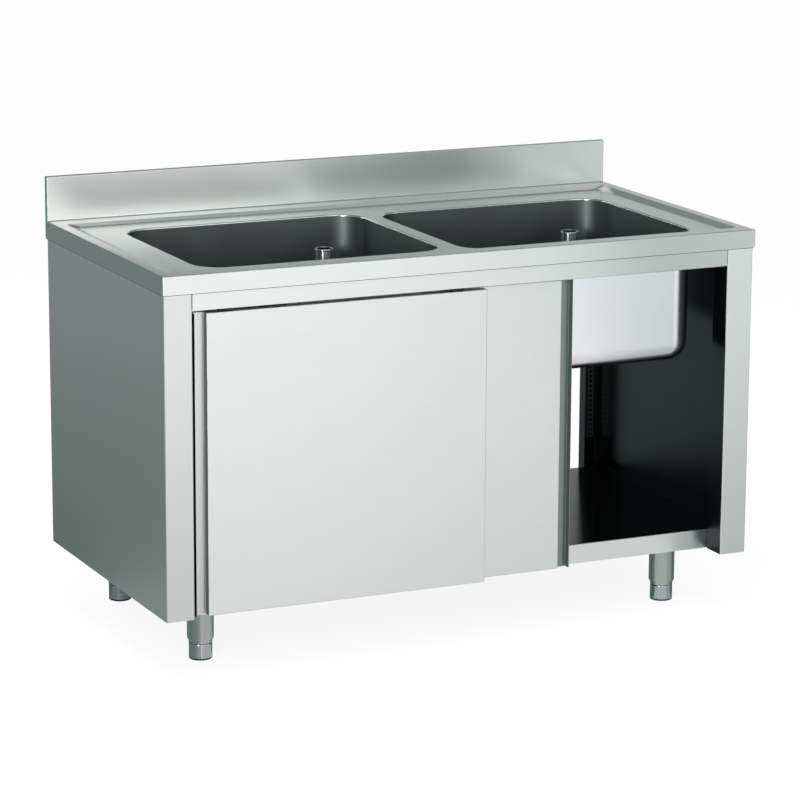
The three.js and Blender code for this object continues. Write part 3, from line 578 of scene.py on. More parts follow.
class SINK_UNIT_OT_finishes(bpy.types.Operator):
    """Makes the materials of the unit"""

    bl_idname = "sink_unit.finishes"
    bl_label = "Finishes"

    def execute(self, context):
        c = context.scene.sink_unit_colours
        outside = {"spread": 0.015, "dulling": 0.96, "waves": 0.00005}
        # Belt-ground sheet, grit 240: the doors, rails, shelf and the worktop's folds.
        ground_steel("ground_sheet", c.satin, "x", 0.3, **outside)
        # The worktop's deck, ground with a finer belt, so that the recess's walls stand out.
        ground_steel("ground_deck", c.satin, "x", 0.2, **outside)
        # The upstand, ground with a belt between the two: it mirrors upright bright and dark bands.
        ground_steel("ground_upstand", c.satin, "x", 0.23, **outside)
        # The side panels, the same sheet with its grain up and down.
        ground_steel("ground_sheet_upright", c.satin, "z", 0.3, **outside)
        # Narrow folds whose grain runs across them, and the shelf racks, in a darker copy of the
        # ground sheet's colour that is painted shade.
        ground_steel("ground_sheet_painted_shade", c.across, "x", 0.3, 0.03)
        # Its other face, never ground again after rolling, in a dark colour that is painted shade:
        # the cupboard's own shade, also put on the hangers, the doors' ends and the standpipes'
        # bores.
        ground_steel("rolled_sheet_painted_shade", c.inside, "x", 0.2, 0.03)
        # The side panels' inner face, in a dark colour that is painted shade, a little lighter than
        # the other inner faces for the light that comes in through the open front and back; the
        # doors' finger-pull walls take it too.
        ground_steel("rolled_panel_painted_shade", c.panel_inside, "x", 0.24, 0.03)
        # Round tube, ground along its length.
        ground_steel("ground_tube", c.tube, "z", 0.22, 0.04)
        # Deep-drawn bowls, brushed dull inside and bare outside. The inside's colour is darker than
        # the steel's, which is painted shade; the outside's pale tint is lightened to near white,
        # which is painted light.
        drawn_steel("drawn_bowl_inside_painted_shade", c.bowl, 0.38, 0.0)
        drawn_steel("drawn_bowl_outside_painted_light", c.bowl_outside, 0.25, 0.0)
        # Turned or spun parts, buffed until they mirror.
        drawn_steel("buffed_steel", c.bright, 0.17, 0.9)
        # Standpipe tube, polished lengthways: it stretches each lamp into an upright line. Its
        # colour is lighter than the buffed steel's, which is painted highlight.
        drawn_steel("polished_tube", c.polished, 0.24, 0.95)
        moulded("moulded_nylon", c.nylon, 0.45, 1.53, 0.0012, 0.00003)
        moulded("moulded_rubber", c.rubber, 0.75, 1.52, 0.0008, 0.00004)
        moulded("moulded_plastic", c.plastic, 0.5, 1.46, 0.001, 0.00003)
        moulded("pressed_fibre_board", c.board, 0.85, 1.5, 0.0015, 0.0001)
        return {"FINISHED"}


# ------------------------------------------------------------------ Worktop


def flat_plate(rings, numbers):
    """A flat face inside the first outline and outside the others, cut into triangles."""
    triangles = tessellate_polygon([ring.tolist() for ring in rings])
    return np.concatenate(numbers)[np.array(triangles)]


def bowl_opening(side, reach):
    """The sides of a bowl's opening: its CAD box without the flange."""
    low, high = ends(f"bowl_{side}")
    return np.array([low[0] + reach, low[1] + reach, high[0] - reach, high[1] - reach])


def pressed_deck(s):
    """The worktop's sheet without its upstand: rows of outlines, all joined into one skin.

    From the recess's floor they go up its slope, over the rim, round the bend, down the fold,
    and back underneath by the same way, one sheet thickness lower. Each bowl's edge turns down
    in a quarter circle: offset is radius times one minus sine, drop is radius times one minus
    cosine."""
    low, high = ends("worktop")
    sheet, bend, lip = s.top_sheet, s.top_bend, s.lip_radius
    below_lip = 0.0006  # straight edge under the lip's curve
    floor = ends("bowl_left")[1][2] + SEAT_GAP + sheet
    rim = floor + s.recess_drop
    upstand_face = high[1] - s.upstand_depth
    outside = np.array([low[0], low[1], high[0], high[1] - SEAT_GAP])
    crease = np.array([
        low[0] + s.rim_end, low[1] + s.rim_front, high[0] - s.rim_end, upstand_face - s.rim_back])
    well = crease + np.array([s.slope_end, s.slope_long, -s.slope_end, -s.slope_long])
    # The slope's section, softened at both ends: shares of its run, and of its rise.
    run = np.array([0, 0.02, 0.05, 0.5, 0.95, 0.98, 1])[:, None]
    rise = np.array([0, 0.005, 0.03, 0.5, 0.97, 0.995, 1]) * s.recess_drop
    slope = well + run * (crease - well)
    t = quarter_turn(BEND_POINTS)
    inner = bend - sheet
    sides = np.concatenate([
        slope,
        inset(outside, bend * (1 - np.sin(t))),
        inset(outside, [0, sheet]),
        inset(outside, bend - inner * np.sin(t[::-1])),
        slope[::-1]])
    height = np.concatenate([
        floor + rise,
        rim - bend * (1 - np.cos(t)),
        [low[2], low[2]],
        rim - bend + inner * np.cos(t[::-1]),
        floor - sheet + rise[::-1]])
    recess = [s.recess_corner] * len(run)
    radius = recess + [bend] * len(t) + [bend, inner] + [inner] * len(t) + recess
    rows = outlines(sides, radius, height, steps=DECK_CORNER_STEPS)
    points, grids = [rows.reshape(-1, 3)], [rows]
    skin = quads(*rows.shape[:2], wrap_columns=True)
    upper = len(run) * rows.shape[1]
    groups = [(skin[:upper], DECK), (skin[upper:], OUTER)]
    offset = np.concatenate([
        -lip * (1 - np.sin(t)), [0, -sheet], -lip + (lip - sheet) * np.sin(t[::-1])])
    foot = floor - lip - below_lip
    drop = np.concatenate([
        floor - lip * (1 - np.cos(t)), [foot, foot], floor - lip + (lip - sheet) * np.cos(t[::-1])])
    for side in ("left", "right"):
        edge = outlines(
            inset(bowl_opening(side, s.bowl_flange), offset), s.bowl_corner - offset, drop,
            steps=BOWL_CORNER_STEPS)
        before = sum(len(p) for p in points)
        groups.append((quads(*edge.shape[:2], wrap_columns=True) + before, DECK))
        points.append(edge.reshape(-1, 3))
        grids.append(edge)
    past = np.cumsum([len(p) for p in points])
    around = [grid.shape[1] for grid in grids]
    first = [np.arange(n) + e - len(p) for n, e, p in zip(around, past, points)]
    last = [np.arange(n) + e - n for n, e in zip(around, past)]
    groups.append((flat_plate([grid[0] for grid in grids], first), DECK))
    groups.append((flat_plate([grid[-1] for grid in grids], last), OUTER))
    return np.concatenate(points), groups


def upstand(s):
    """The upstand: a block with rounded upper edges, and a hollow quarter circle at its foot."""
    low, high = ends("worktop")
    rim = ends("bowl_left")[1][2] + SEAT_GAP + s.top_sheet + s.recess_drop
    face, bend, fillet = high[1] - s.upstand_depth, s.top_bend, s.upstand_fillet
    foot_edge = 0.0001
    sunk, behind = 0.0008, 0.001  # how far the fillet reaches into the rim and into the wall
    wall = rounded_block((low[0], face, rim - bend), high, bend, foot_edge)
    t = quarter_turn(FILLET_POINTS)
    curve = np.stack([face - fillet * (1 - np.sin(t)), rim + fillet * (1 - np.cos(t))], -1)[::-1]
    section = np.concatenate([curve, [
        [face - fillet, rim - sunk], [face + behind, rim - sunk], [face + behind, rim + fillet]]])
    x = np.array([low[0] + bend, high[0] - bend])[:, None]
    strip = np.stack(np.broadcast_arrays(x, section[:, 0], section[:, 1]), -1)
    return [shifted(part, UPSTAND) for part in (wall, loft(strip))]


def joint_bead():
    """The black bead under the worktop's folds: a small section carried round the cupboard."""
    low, high = ends("side_panel_left")[0], ends("side_panel_right")[1]
    top = ends("worktop")[0][2]
    proud, hidden, tall, corner = 0.0012, 0.001, 0.0018, 0.002
    around = [low[0], low[1], high[0], high[1]]
    amount, height = [-proud, hidden, hidden, -proud], top - np.array([0, 0, tall, tall])
    return shifted(loft(outlines(inset(around, amount), corner, height), ring=True), RUBBER)


class SINK_UNIT_OT_worktop(bpy.types.Operator):
    """Builds the worktop with its recess, folds, bowl openings and upstand, and its brace"""

    bl_idname = "sink_unit.worktop"
    bl_label = "Worktop"

    def execute(self, context):
        s = context.scene.sink_unit_sizes
        add_piece(
            "worktop", "cabinet",
            ["ground_sheet", "moulded_rubber", "ground_deck", "ground_upstand"],
            [pressed_deck(s), *upstand(s), joint_bead()])
        low, high = ends("worktop_centre_brace")
        add_folded(
            "worktop_centre_brace",
            [(low[0], low[2]), (low[0], high[2]), (high[0], high[2]), (high[0], low[2])],
            s.body_bend, low[1], high[1], "xz", -1, s)
        return {"FINISHED"}


# ------------------------------------------------------------------ Bowls and wastes


def drawn_bowl(side, s):
    """A bowl in one sheet: a section carried round a rounded rectangle, and a ruled floor.

    The section runs along the flange, down a short neck, in by a joggle, down the wall and round
    the fillet. On the floor each point moves straight to the drain's circle, which it reaches in
    the direction in which it lies from the drain, while the height falls with the share of the
    way. The outside is the same surface, one sheet thickness away."""
    low, high = ends(f"bowl_{side}")
    sheet, reach = s.body_sheet, s.bowl_flange
    neck, joggle = 0.0018, 0.0012  # how far the neck lies outside the wall, the joggle's drop
    above_lip = 0.0014  # from the foot of the deck's lip up to the joggle
    neck_bend, joggle_bend, past_fillet = 0.001, 0.0003, 0.002
    gasket_cover = 0.0097  # from the gasket's edge to the hole in the bowl
    opening = bowl_opening(side, reach)
    floor, top = low[2] + sheet, high[2]
    edge = floor + s.bowl_fall
    step = top - s.lip_radius + above_lip
    section, normal = rounded_path(
        [(-reach, top), (-neck, top), (-neck, step), (0, step - joggle), (0, edge),
         (s.bowl_fillet + past_fillet, edge)],
        [neck_bend, joggle_bend, joggle_bend, s.bowl_fillet], steps=8)
    drain = middle(f"waste_body_{side}")
    gasket_low, gasket_high = ends(f"waste_gasket_{side}")
    bore = (gasket_high[0] - gasket_low[0]) / 2 - gasket_cover

    def skin(line):
        rows = outlines(
            inset(opening, line[:, 0]), s.bowl_corner - line[:, 0], line[:, 1],
            steps=BOWL_CORNER_STEPS)
        rim = rows[-1]
        away = (rim - drain)[:, :2]
        circle = drain[:2] + bore * away / np.linalg.norm(away, axis=1)[:, None]
        share = np.array([0.25, 0.5, 0.75, 0.9, 1.0])[:, None, None]
        flat = rim[:, :2] + share * (circle - rim[:, :2])
        height = rim[:, 2:] - s.bowl_fall * share
        return np.concatenate([rows, np.concatenate([flat, height], -1)])

    inside = skin(section)
    outside = skin(section - sheet * normal)
    return loft(np.concatenate([inside, outside[::-1]]), ring=True, inner_from=len(inside) - 1)


def waste_parts(side):
    """A waste: a dished flange and a plain body, all turned about the drain's axis."""
    low, high = ends(f"waste_body_{side}")
    mouth, outlet, body, brim, dish = 0.022, 0.0178, 0.025, 0.0375, 0.034  # radii
    seat_depth, flange_sheet, brim_drop, mouth_drop = 0.0125, 0.0015, 0.0008, 0.0006
    flange, foot, seat = high[2], low[2], high[2] - seat_depth
    corners = [
        (mouth, flange - mouth_drop), (mouth, seat), (outlet, seat), (outlet, foot), (body, foot),
        (body, flange - flange_sheet), (brim, flange - flange_sheet), (brim, flange - brim_drop),
        (dish, flange)]
    return [turned(rounded_ring(corners, THIN_EDGE), middle(f"waste_body_{side}"), ring=True)]


def standpipe(side):
    """A tube with a bead rolled outwards at its top: the bead is a circle on the tube's edge."""
    low, high = ends(f"standpipe_tube_{side}")
    bore, tube, bead = 0.0178, 0.019, 0.0022  # radii
    slimmer = 0.98  # the bead is a little less wide than high
    t = np.radians(np.linspace(-60, 150, 12))
    curl = np.stack([tube + bead * np.cos(t) * slimmer, high[2] - bead + bead * np.sin(t)], -1)
    profile = np.concatenate([
        [[bore, low[2]], [tube, low[2]], [tube, high[2] - 2 * bead]], curl,
        [[bore, high[2] - bead]]])
    centre = middle(f"standpipe_tube_{side}")
    return [turned(profile, centre, ring=True, inner_from=len(profile) - 1)]


class SINK_UNIT_OT_bowls(bpy.types.Operator):
    """Builds the two bowls with their wastes and standpipes"""

    bl_idname = "sink_unit.bowls"
    bl_label = "Bowls"

    def execute(self, context):
        s = context.scene.sink_unit_sizes
        for side in ("left", "right"):
            pipe = f"standpipe_{side}"
            add_piece(
                f"bowl_{side}", "cabinet",
                ["drawn_bowl_inside_painted_shade", "drawn_bowl_outside_painted_light"], [drawn_bowl(side, s)])
            add_piece(
                f"waste_body_{side}", "cabinet", ["buffed_steel"],
                waste_parts(side))
            add_piece(
                f"standpipe_tube_{side}", pipe,
                ["polished_tube", "rolled_sheet_painted_shade"], standpipe(side))
            finish_node(f"waste_gasket_{side}", "moulded_rubber")
            finish_node(f"standpipe_seal_{side}", "moulded_rubber")
            finish_node(f"waste_nut_{side}", "moulded_plastic")
        return {"FINISHED"}


# ------------------------------------------------------------------ Cupboard body


def panel_parts(side, s):
    """A side panel: one sheet folded into a boxed stile and a back post, with two flanges."""
    low, high = ends(f"side_panel_{side}")
    way = -1 if side == "left" else 1
    outer = high[0] if side == "right" else -low[0]
    stile_back, post_front = low[1] + s.stile_depth, high[1] - s.post_depth
    near, turning = 0.0004, 0.0015  # how close a fold's flat faces, and its bend's, lie to it
    buried = 0.0004  # the flanges' outer edges lie this far inside the panel's face
    path = [
        (outer - s.stile_width + s.stile_return, stile_back), (outer - s.stile_width, stile_back),
        (outer - s.stile_width, low[1]), (outer, low[1]), (outer, high[1]),
        (outer - s.post_width, high[1]), (outer - s.post_width, post_front)]
    points, groups = folded_sheet(path, s.body_sheet, s.body_bend, low[2], high[2], "xy", 1)
    outside = groups[0][0]
    x, y, _ = points[outside].mean(1).T
    # The folds that face into the cupboard and the flanges take the dark inner finish, which is
    # painted shade.
    stile_fold = (x < outer - s.stile_width + near) & (y > low[1] + s.body_bend) & (y < 0)
    stile_fold |= (
        (x < outer - s.stile_width + s.stile_return) & (y > stile_back - turning) & (y < 0))
    post_fold = (x < outer - s.post_width + turning) & (y > 0)
    in_shade = stile_fold | post_fold
    parts = [(points, [(outside[~in_shade], OUTER), (outside[in_shade], INNER), groups[1]])]
    for width, foot in ((s.top_flange, high[2] - s.body_sheet), (s.foot_flange, low[2])):
        flange = rounded_block(
            (outer - width, stile_back, foot), (outer - buried, post_front, foot + s.body_sheet),
            THIN_EDGE)
        parts.append(shifted(flange, INNER))
    for points, _ in parts:
        points[:, 0] *= way
    return parts


class SINK_UNIT_OT_body(bpy.types.Operator):
    """Builds the side panels, rails, bottom shelf, stiffener and racks"""

    bl_idname = "sink_unit.body"
    bl_label = "Cupboard body"

    def execute(self, context):
        s = context.scene.sink_unit_sizes
        pan_corner, brim = 0.003, 0.015
        for side in ("left", "right"):
            add_piece(
                f"side_panel_{side}", "cabinet",
                ["ground_sheet_upright", "rolled_panel_painted_shade"], panel_parts(side, s))
            # The racks take the darker sheet, which is painted shade.
            finish_node(f"shelf_rack_{side}", "ground_sheet_painted_shade")
        low, high = ends("front_top_rail")
        add_folded(
            "front_top_rail", [(low[1], low[2]), (low[1], high[2]), (high[1], high[2])],
            s.body_bend, low[0] + s.rail_gap, high[0] - s.rail_gap, "yz", -1, s)
        low, high = ends("rear_top_rail")
        add_folded(
            "rear_top_rail",
            [(low[1], low[2]), (high[1], low[2]), (high[1], high[2]), (low[1], high[2])],
            s.body_bend, low[0], high[0], "yz", 1, s)
        low, high = ends("bottom_shelf")
        points, groups = pan(
            [low[0], low[1], high[0], high[1]], high[2], high[2] - low[2],
            s.body_sheet, s.body_bend, pan_corner, -1)
        walls, underside, top, under_top = groups
        # The shelf's top takes the dark inner finish, which is painted shade in the cupboard.
        shelf = (points, [walls, underside, (top[0], INNER), under_top])
        add_piece("bottom_shelf", "cabinet", TWO_SIDED, [shelf])
        low, high = ends("shelf_stiffener")
        top, foot = high[2], low[2] + s.body_sheet
        add_folded(
            "shelf_stiffener",
            [(low[1], top), (low[1] + brim, top), (low[1] + brim, foot), (high[1] - brim, foot),
             (high[1] - brim, top), (high[1], top)],
            s.body_bend, low[0], high[0], "yz", -1, s)
        return {"FINISHED"}


# ------------------------------------------------------------------ Sliding doors


def skin_parts(door, way, s):
    """A door's outer pan, and the fold that lies along the bottom of the finger pull."""
    low, high = ends(f"{door}_door_skin")
    near, behind_face = 0.0004, 0.001  # a wall's faces in the channel are found by their place
    above_foot, below_top, fold_edge = 0.003, 0.001, 0.0005
    in_front = 0.0035  # of the channel's bottom
    points, groups = pan(
        [low[0], low[2], high[0], high[2]], low[1], high[1] - low[1],
        s.body_sheet, TIGHT_BEND, TIGHT_BEND, 1, axes=(0, 2, 1))
    edge = low[0] if way < 0 else high[0]
    walls = groups[0][0]
    place = points[walls].mean(1)
    channel = (abs(place[:, 0] - edge) < near) & (place[:, 1] > low[1] + behind_face)
    # The channel's walls take the dark panel finish: painted shade in the finger pull.
    face = (points, [(walls[~channel], OUTER), (walls[channel], CHANNEL_PAINTED_SHADE), *groups[1:]])
    x0, x1 = sorted((edge + way * s.grip_return, edge - way * s.body_sheet))
    depth = low[1] + s.grip_depth - in_front
    fold = rounded_block(
        (x0, low[2] + above_foot, depth), (x1, high[2] - below_top, depth + s.body_sheet),
        fold_edge, axes=(0, 2, 1))
    return [face, fold]


def grip_parts(door, way, s):
    """The finger pull: a thin lip, the channel's bottom, and a strip on the door's end."""
    low, high = ends(f"{door}_door_grip")
    width, back = high[0] - low[0], low[1] + s.grip_depth + s.body_sheet
    near, overlap, margin = 0.0002, 0.002, 0.0002
    strip_face, strip_back = 0.00005, 0.0011  # from the door's end inwards
    points, groups = folded_sheet(
        [(0, low[1]), (0, back), (width, back)],
        s.body_sheet, s.body_bend, low[2], high[2], "xy", -1)
    outside = groups[0][0]
    # The lip's end face and the strip on the door's end take the dark sheet finish, which is
    # painted shade.
    end_face = (points[outside][..., 0] < near).all(1)
    fold = (points, [
        (outside[~end_face], OUTER), (outside[end_face], INNER), (groups[1][0], OUTER)])
    strip = rounded_block(
        (strip_face, back - overlap, low[2] + margin), (strip_back, high[1], high[2] - margin),
        THIN_EDGE)
    parts = [fold, shifted(strip, INNER)]
    for points, _ in parts:
        points[:, 0] = (low[0] + points[:, 0]) if way < 0 else (high[0] - points[:, 0])
    return parts


def hanger_parts(node):
    """A bent plate with a bolt that is the roller's axle, and two screws down into the door."""
    low, high = ends(node)
    plate, plate_bend, ledge = 0.002, 0.003, 0.009
    axle_drop, axle_start = 0.009, 0.001  # below the plate's top, behind its face
    pin, pin_end, chamfer = 0.003, 0.0026, 0.0004
    screw_aside, screw_back = 0.009, 0.006  # from the plate's middle, behind its face
    bent = folded_sheet(
        [(low[1] + ledge, low[2]), (low[1], low[2]), (low[1], high[2])],
        plate, plate_bend, low[0], high[0], "yz", -1)
    across = (low[0] + high[0]) / 2
    axle = np.array([across, low[1] + axle_start, high[2] - axle_drop])
    reach = high[1] - axle[1]
    bolt = turned(
        [(0, 0), (pin, 0), (pin, reach - chamfer), (pin_end, reach), (0, reach)],
        axle, BACKWARDS, steps=AXLE_STEPS)
    head = cap_screw(axle - axle_start * BACKWARDS, -BACKWARDS, radius=0.0052, height=0.0025)
    screws = [
        cap_screw((x, low[1] + screw_back, low[2] + plate), UP, radius=0.0026, height=0.0018)
        for x in (across - screw_aside, across + screw_aside)]
    return [shifted(part, OUTER) for part in (bent, bolt, head, *screws)]


def roller_parts(node):
    """A roller with a hub, a hollow in each face and a bevelled tread, turned about its axle."""
    low, high = ends(node)
    centre = (low + high) / 2
    centre[1] = low[1]
    radius, width = (high[2] - low[2]) / 2, high[1] - low[1]
    bore, hub, rim = 0.0033, 0.0052, 0.0085  # radii
    hollow, chamfer, rounding = 0.0007, 0.001, 0.0002
    corners = [
        (bore, width), (bore, 0), (hub, 0), (hub, hollow), (rim, hollow), (rim, 0),
        (radius - chamfer, 0), (radius, chamfer), (radius, width - chamfer),
        (radius - chamfer, width), (rim, width), (rim, width - hollow), (hub, width - hollow),
        (hub, width)]
    return [turned(rounded_ring(corners, rounding), centre, BACKWARDS, ring=True)]


class SINK_UNIT_OT_doors(bpy.types.Operator):
    """Builds the two sliding doors with their finger pulls, hangers and rollers"""

    bl_idname = "sink_unit.doors"
    bl_label = "Sliding doors"

    def execute(self, context):
        s = context.scene.sink_unit_sizes
        cover_edge = 0.0004
        # The rear door's finger pull takes the darker sheet, which is painted shade.
        grips = (("front", -1, "ground_sheet_upright"), ("rear", 1, "ground_sheet_painted_shade"))
        for door, way, bottom in grips:
            leaf = f"{door}_door"
            add_piece(
                f"{leaf}_skin", leaf, [*TWO_SIDED, "rolled_panel_painted_shade"],
                skin_parts(door, way, s))
            add_piece(
                f"{leaf}_grip", leaf, [bottom, "rolled_sheet_painted_shade"],
                grip_parts(door, way, s))
            low, high = ends(f"{leaf}_back")
            cover = rounded_block(
                (low[0], low[2], high[1] - s.body_sheet), (high[0], high[2], high[1]), cover_edge,
                axes=(0, 2, 1))
            add_piece(f"{leaf}_back", leaf, ["ground_sheet"], [cover])
            finish_node(f"{leaf}_core", "pressed_fibre_board")
            for end in ("left", "right"):
                hanger, roller = f"{leaf}_hanger_{end}", f"{leaf}_roller_{end}"
                # The hangers take the dark sheet finish, which is painted shade above the doors.
                add_piece(
                    hanger, leaf, ["rolled_sheet_painted_shade"], hanger_parts(hanger))
                add_piece(
                    roller, f"{door}_roller_{end}", ["moulded_nylon"],
                    roller_parts(roller))
        low, high = ends("front_door_glide")
        add_piece(
            "front_door_glide", "front_door", ["moulded_nylon"],
            [rounded_block(low, high, BLOCK_EDGE)])
        return {"FINISHED"}


class SINK_UNIT_OT_tracks(bpy.types.Operator):
    """Builds the tracks, their rubber stops and the guide blocks"""

    bl_idname = "sink_unit.tracks"
    bl_label = "Tracks"

    def execute(self, context):
        s = context.scene.sink_unit_sizes
        stop_edge = 0.001
        for door in ("front", "rear"):
            low, high = ends(f"track_{door}")
            add_folded(
                f"track_{door}",
                [(low[1], low[2] + s.body_sheet + s.track_lip), (low[1], low[2]), (high[1], low[2]),
                 (high[1], high[2]), (low[1], high[2])],
                TIGHT_BEND, low[0], high[0], "yz", 1, s)
            for end in ("left", "right"):
                stop = f"track_stop_{door}_{end}"
                block = rounded_block(*ends(stop), stop_edge)
                add_piece(stop, "cabinet", ["moulded_rubber"], [block])
        for side in ("left", "right"):
            guide = f"guide_block_{side}"
            low, high = ends(guide)
            screw = cap_screw(middle(guide) + high[2] * UP, UP)
            add_piece(
                guide, "cabinet", ["moulded_nylon", "buffed_steel"],
                [rounded_block(low, high, BLOCK_EDGE), shifted(screw, SCREW)])
        return {"FINISHED"}


# ------------------------------------------------------------------ Legs


def leg_parts(node, s):
    """A plate with four screws, and a tube with rounded edges that is drawn in at its foot."""
    low, high = ends(node)
    tube, bore, neck = 0.029, 0.0083, s.foot_radius + 0.0002  # radii
    neck_height, drawn_height = 0.004, 0.01
    plate, plate_edge, sunk = 0.003, 0.0008, 0.001  # the last: the tube into the plate
    screw_inset = 0.009
    centre, foot, top = middle(node), low[2], high[2] - plate
    corners = [
        (tube, top + sunk), (tube, foot + drawn_height), (neck, foot + neck_height), (neck, foot),
        (bore, foot), (bore, foot + neck_height), (neck - s.tube_wall, foot + neck_height),
        (tube - s.tube_wall, foot + drawn_height), (tube - s.tube_wall, top + sunk)]
    # The corners' radii, from the second one round to the first.
    bends = [0.005, 0.002, 0.0005, 0.0003, 0.0003, 0.0005, 0.003, 0.0005, 0.0005]
    # The weld's section, counted from where the tube meets the plate.
    weld = [(-0.001, 0.0005), (0.003, 0.0005), (0.001, -0.001), (0, -0.003), (-0.001, -0.003)]
    parts = [
        rounded_block((low[0], low[1], top), high, plate_edge),
        turned(rounded_ring(corners, bends), centre, ring=True),
        turned(np.array([tube, top]) + weld, centre, ring=True)]
    half = (high[0] - low[0]) / 2 - screw_inset
    for x, y in ((-1, -1), (-1, 1), (1, -1), (1, 1)):
        parts.append(cap_screw(centre + np.array([x * half, y * half, top]), -UP))
    return parts


def foot_parts(node, s):
    """A spun cup and its threaded stem: the thread is a zigzag of 2 mm from ridge to ridge."""
    low, high = ends(node)
    cup_height, cup_wall, cup_floor = 0.0327, 0.0015, 0.008
    ridge, root, pitch, plain = 0.008, 0.0072, 0.002, 0.003
    collar, chamfer, end_radius = 0.002, 0.002, 0.006
    radius, top = s.foot_radius, low[2] + cup_height
    ridges = np.arange(top + plain, high[2] - plain, pitch)
    thread = np.stack([
        np.tile([ridge, root], len(ridges)),
        np.repeat(ridges, 2) + np.tile([0, pitch / 2], len(ridges))], -1)
    cup, _ = rounded_path(
        [(0, top - cup_floor), (radius - cup_wall, top - cup_floor), (radius - cup_wall, low[2]),
         (radius, low[2]), (radius, top), (root, top), (root, top + collar)],
        [0.002, 0.0004, 0.0004, 0.003, 0.0002], steps=4)
    end = [[root, high[2] - chamfer], [end_radius, high[2]], [0, high[2]]]
    return [turned(np.concatenate([cup, thread, end]), middle(node))]


def tip_parts(node, s):
    """A plug that fills the cup, with a ring that shows under it and a rounded tread."""
    radius, top = s.foot_radius, ends(node)[1][2]
    tread, bevel = 0.0012, 0.0018  # the lower edge: its run and its rise
    ring, clearance = 0.0037, 0.0018  # the ring's height, and from its edge to the plug
    profile, _ = rounded_path(
        [(0, 0), (radius - tread, 0), (radius, bevel), (radius, ring), (radius - clearance, ring),
         (radius - clearance, top), (0, top)],
        [0.0012, 0.0008, 0.0003, 0.0003, 0.001], steps=3)
    return [turned(profile, middle(node))]


class SINK_UNIT_OT_legs(bpy.types.Operator):
    """Builds the four legs with their feet and tips"""

    bl_idname = "sink_unit.legs"
    bl_label = "Legs"

    def execute(self, context):
        s = context.scene.sink_unit_sizes
        for place in ("front_left", "front_right", "back_left", "back_right"):
            leg, foot, tip = f"leg_{place}", f"foot_{place}", f"foot_tip_{place}"
            add_piece(leg, "cabinet", ["ground_tube"], leg_parts(leg, s))
            add_piece(foot, foot, ["buffed_steel"], foot_parts(foot, s))
            add_piece(tip, foot, ["moulded_plastic"], tip_parts(tip, s))
        return {"FINISHED"}


# ------------------------------------------------------------------ Stage

# What the steel mirrors, as brightness by direction: degrees from the right (+X) turning to the
# back (+Y), so that the front is at 270. The front is bright, with a narrow strip light left of
# its middle. Right of its middle a dark gap follows the brightest card. The right, the back and
# the left are dim, and a little green.
SURROUND = [
    (0, 0.28), (15, 0.22), (30, 0.3), (45, 0.6), (58, 0.76), (66, 0.63), (74, 0.43), (85, 0.5),
    (105, 0.27), (120, 0.19), (150, 0.25), (180, 0.4), (210, 0.5), (240, 0.6), (254, 0.9),
    (256.5, 2.0), (259, 1.1), (265, 1.14), (270, 0.98), (276, 0.97), (285, 1.04), (291.5, 1.28),
    (294.5, 0.6), (297, 0.2), (299.5, 0.56), (302, 0.66), (306, 0.6), (311, 0.95), (319, 0.85),
    (340, 0.34), (360, 0.28)]
RED_LOSS, BLUE_LOSS = 0.26, 0.04  # in the dark directions, which makes them a little green
LEG_ROWS = ((-0.565, -0.215, 0.0), (0.565, 0.282, 0.0))  # the rectangle between the legs
WHITE = (1.0, 1.0, 1.0, 1.0)


def surround_glow(tree, direction, strength):
    """Light: the strength times the brightness that the table above gives for a direction.

    The angle round the vertical axis, as a share of a full turn, picks a place on a ramp. The
    ramp holds half of each brightness, so that it can go above one."""
    split = add_node(tree, "ShaderNodeSeparateXYZ", links={0: direction})
    angle = add_node(
        tree, "ShaderNodeMath", {"operation": "ARCTAN2"}, {0: (split, "Y"), 1: (split, "X")})
    share = add_node(
        tree, "ShaderNodeMath", {"operation": "DIVIDE", 1: 2 * math.pi}, {0: (angle, "Value")})
    turn = add_node(tree, "ShaderNodeMath", {"operation": "FRACT"}, {0: (share, "Value")})
    ramp = add_node(tree, "ShaderNodeValToRGB", links={"Fac": (turn, "Value")})
    ramp.color_ramp.interpolation = "LINEAR"
    stops = ramp.color_ramp.elements
    for i, (degrees, brightness) in enumerate(SURROUND):
        stop = stops[i] if i < 2 else stops.new(degrees / 360)
        stop.position = degrees / 360
        dim = max(1 - brightness, 0)
        red, blue = 1 - RED_LOSS * dim, 1 - BLUE_LOSS * dim
        stop.color = (red * brightness / 2, brightness / 2, blue * brightness / 2, 1)
    return add_node(
        tree, "ShaderNodeEmission", links={"Color": (ramp, "Color"), "Strength": strength})


def stage_object(name, data):
    """An object that belongs to the studio."""
    made = bpy.data.objects.new(name, data)
    bpy.context.scene.collection.objects.link(made)
    return made


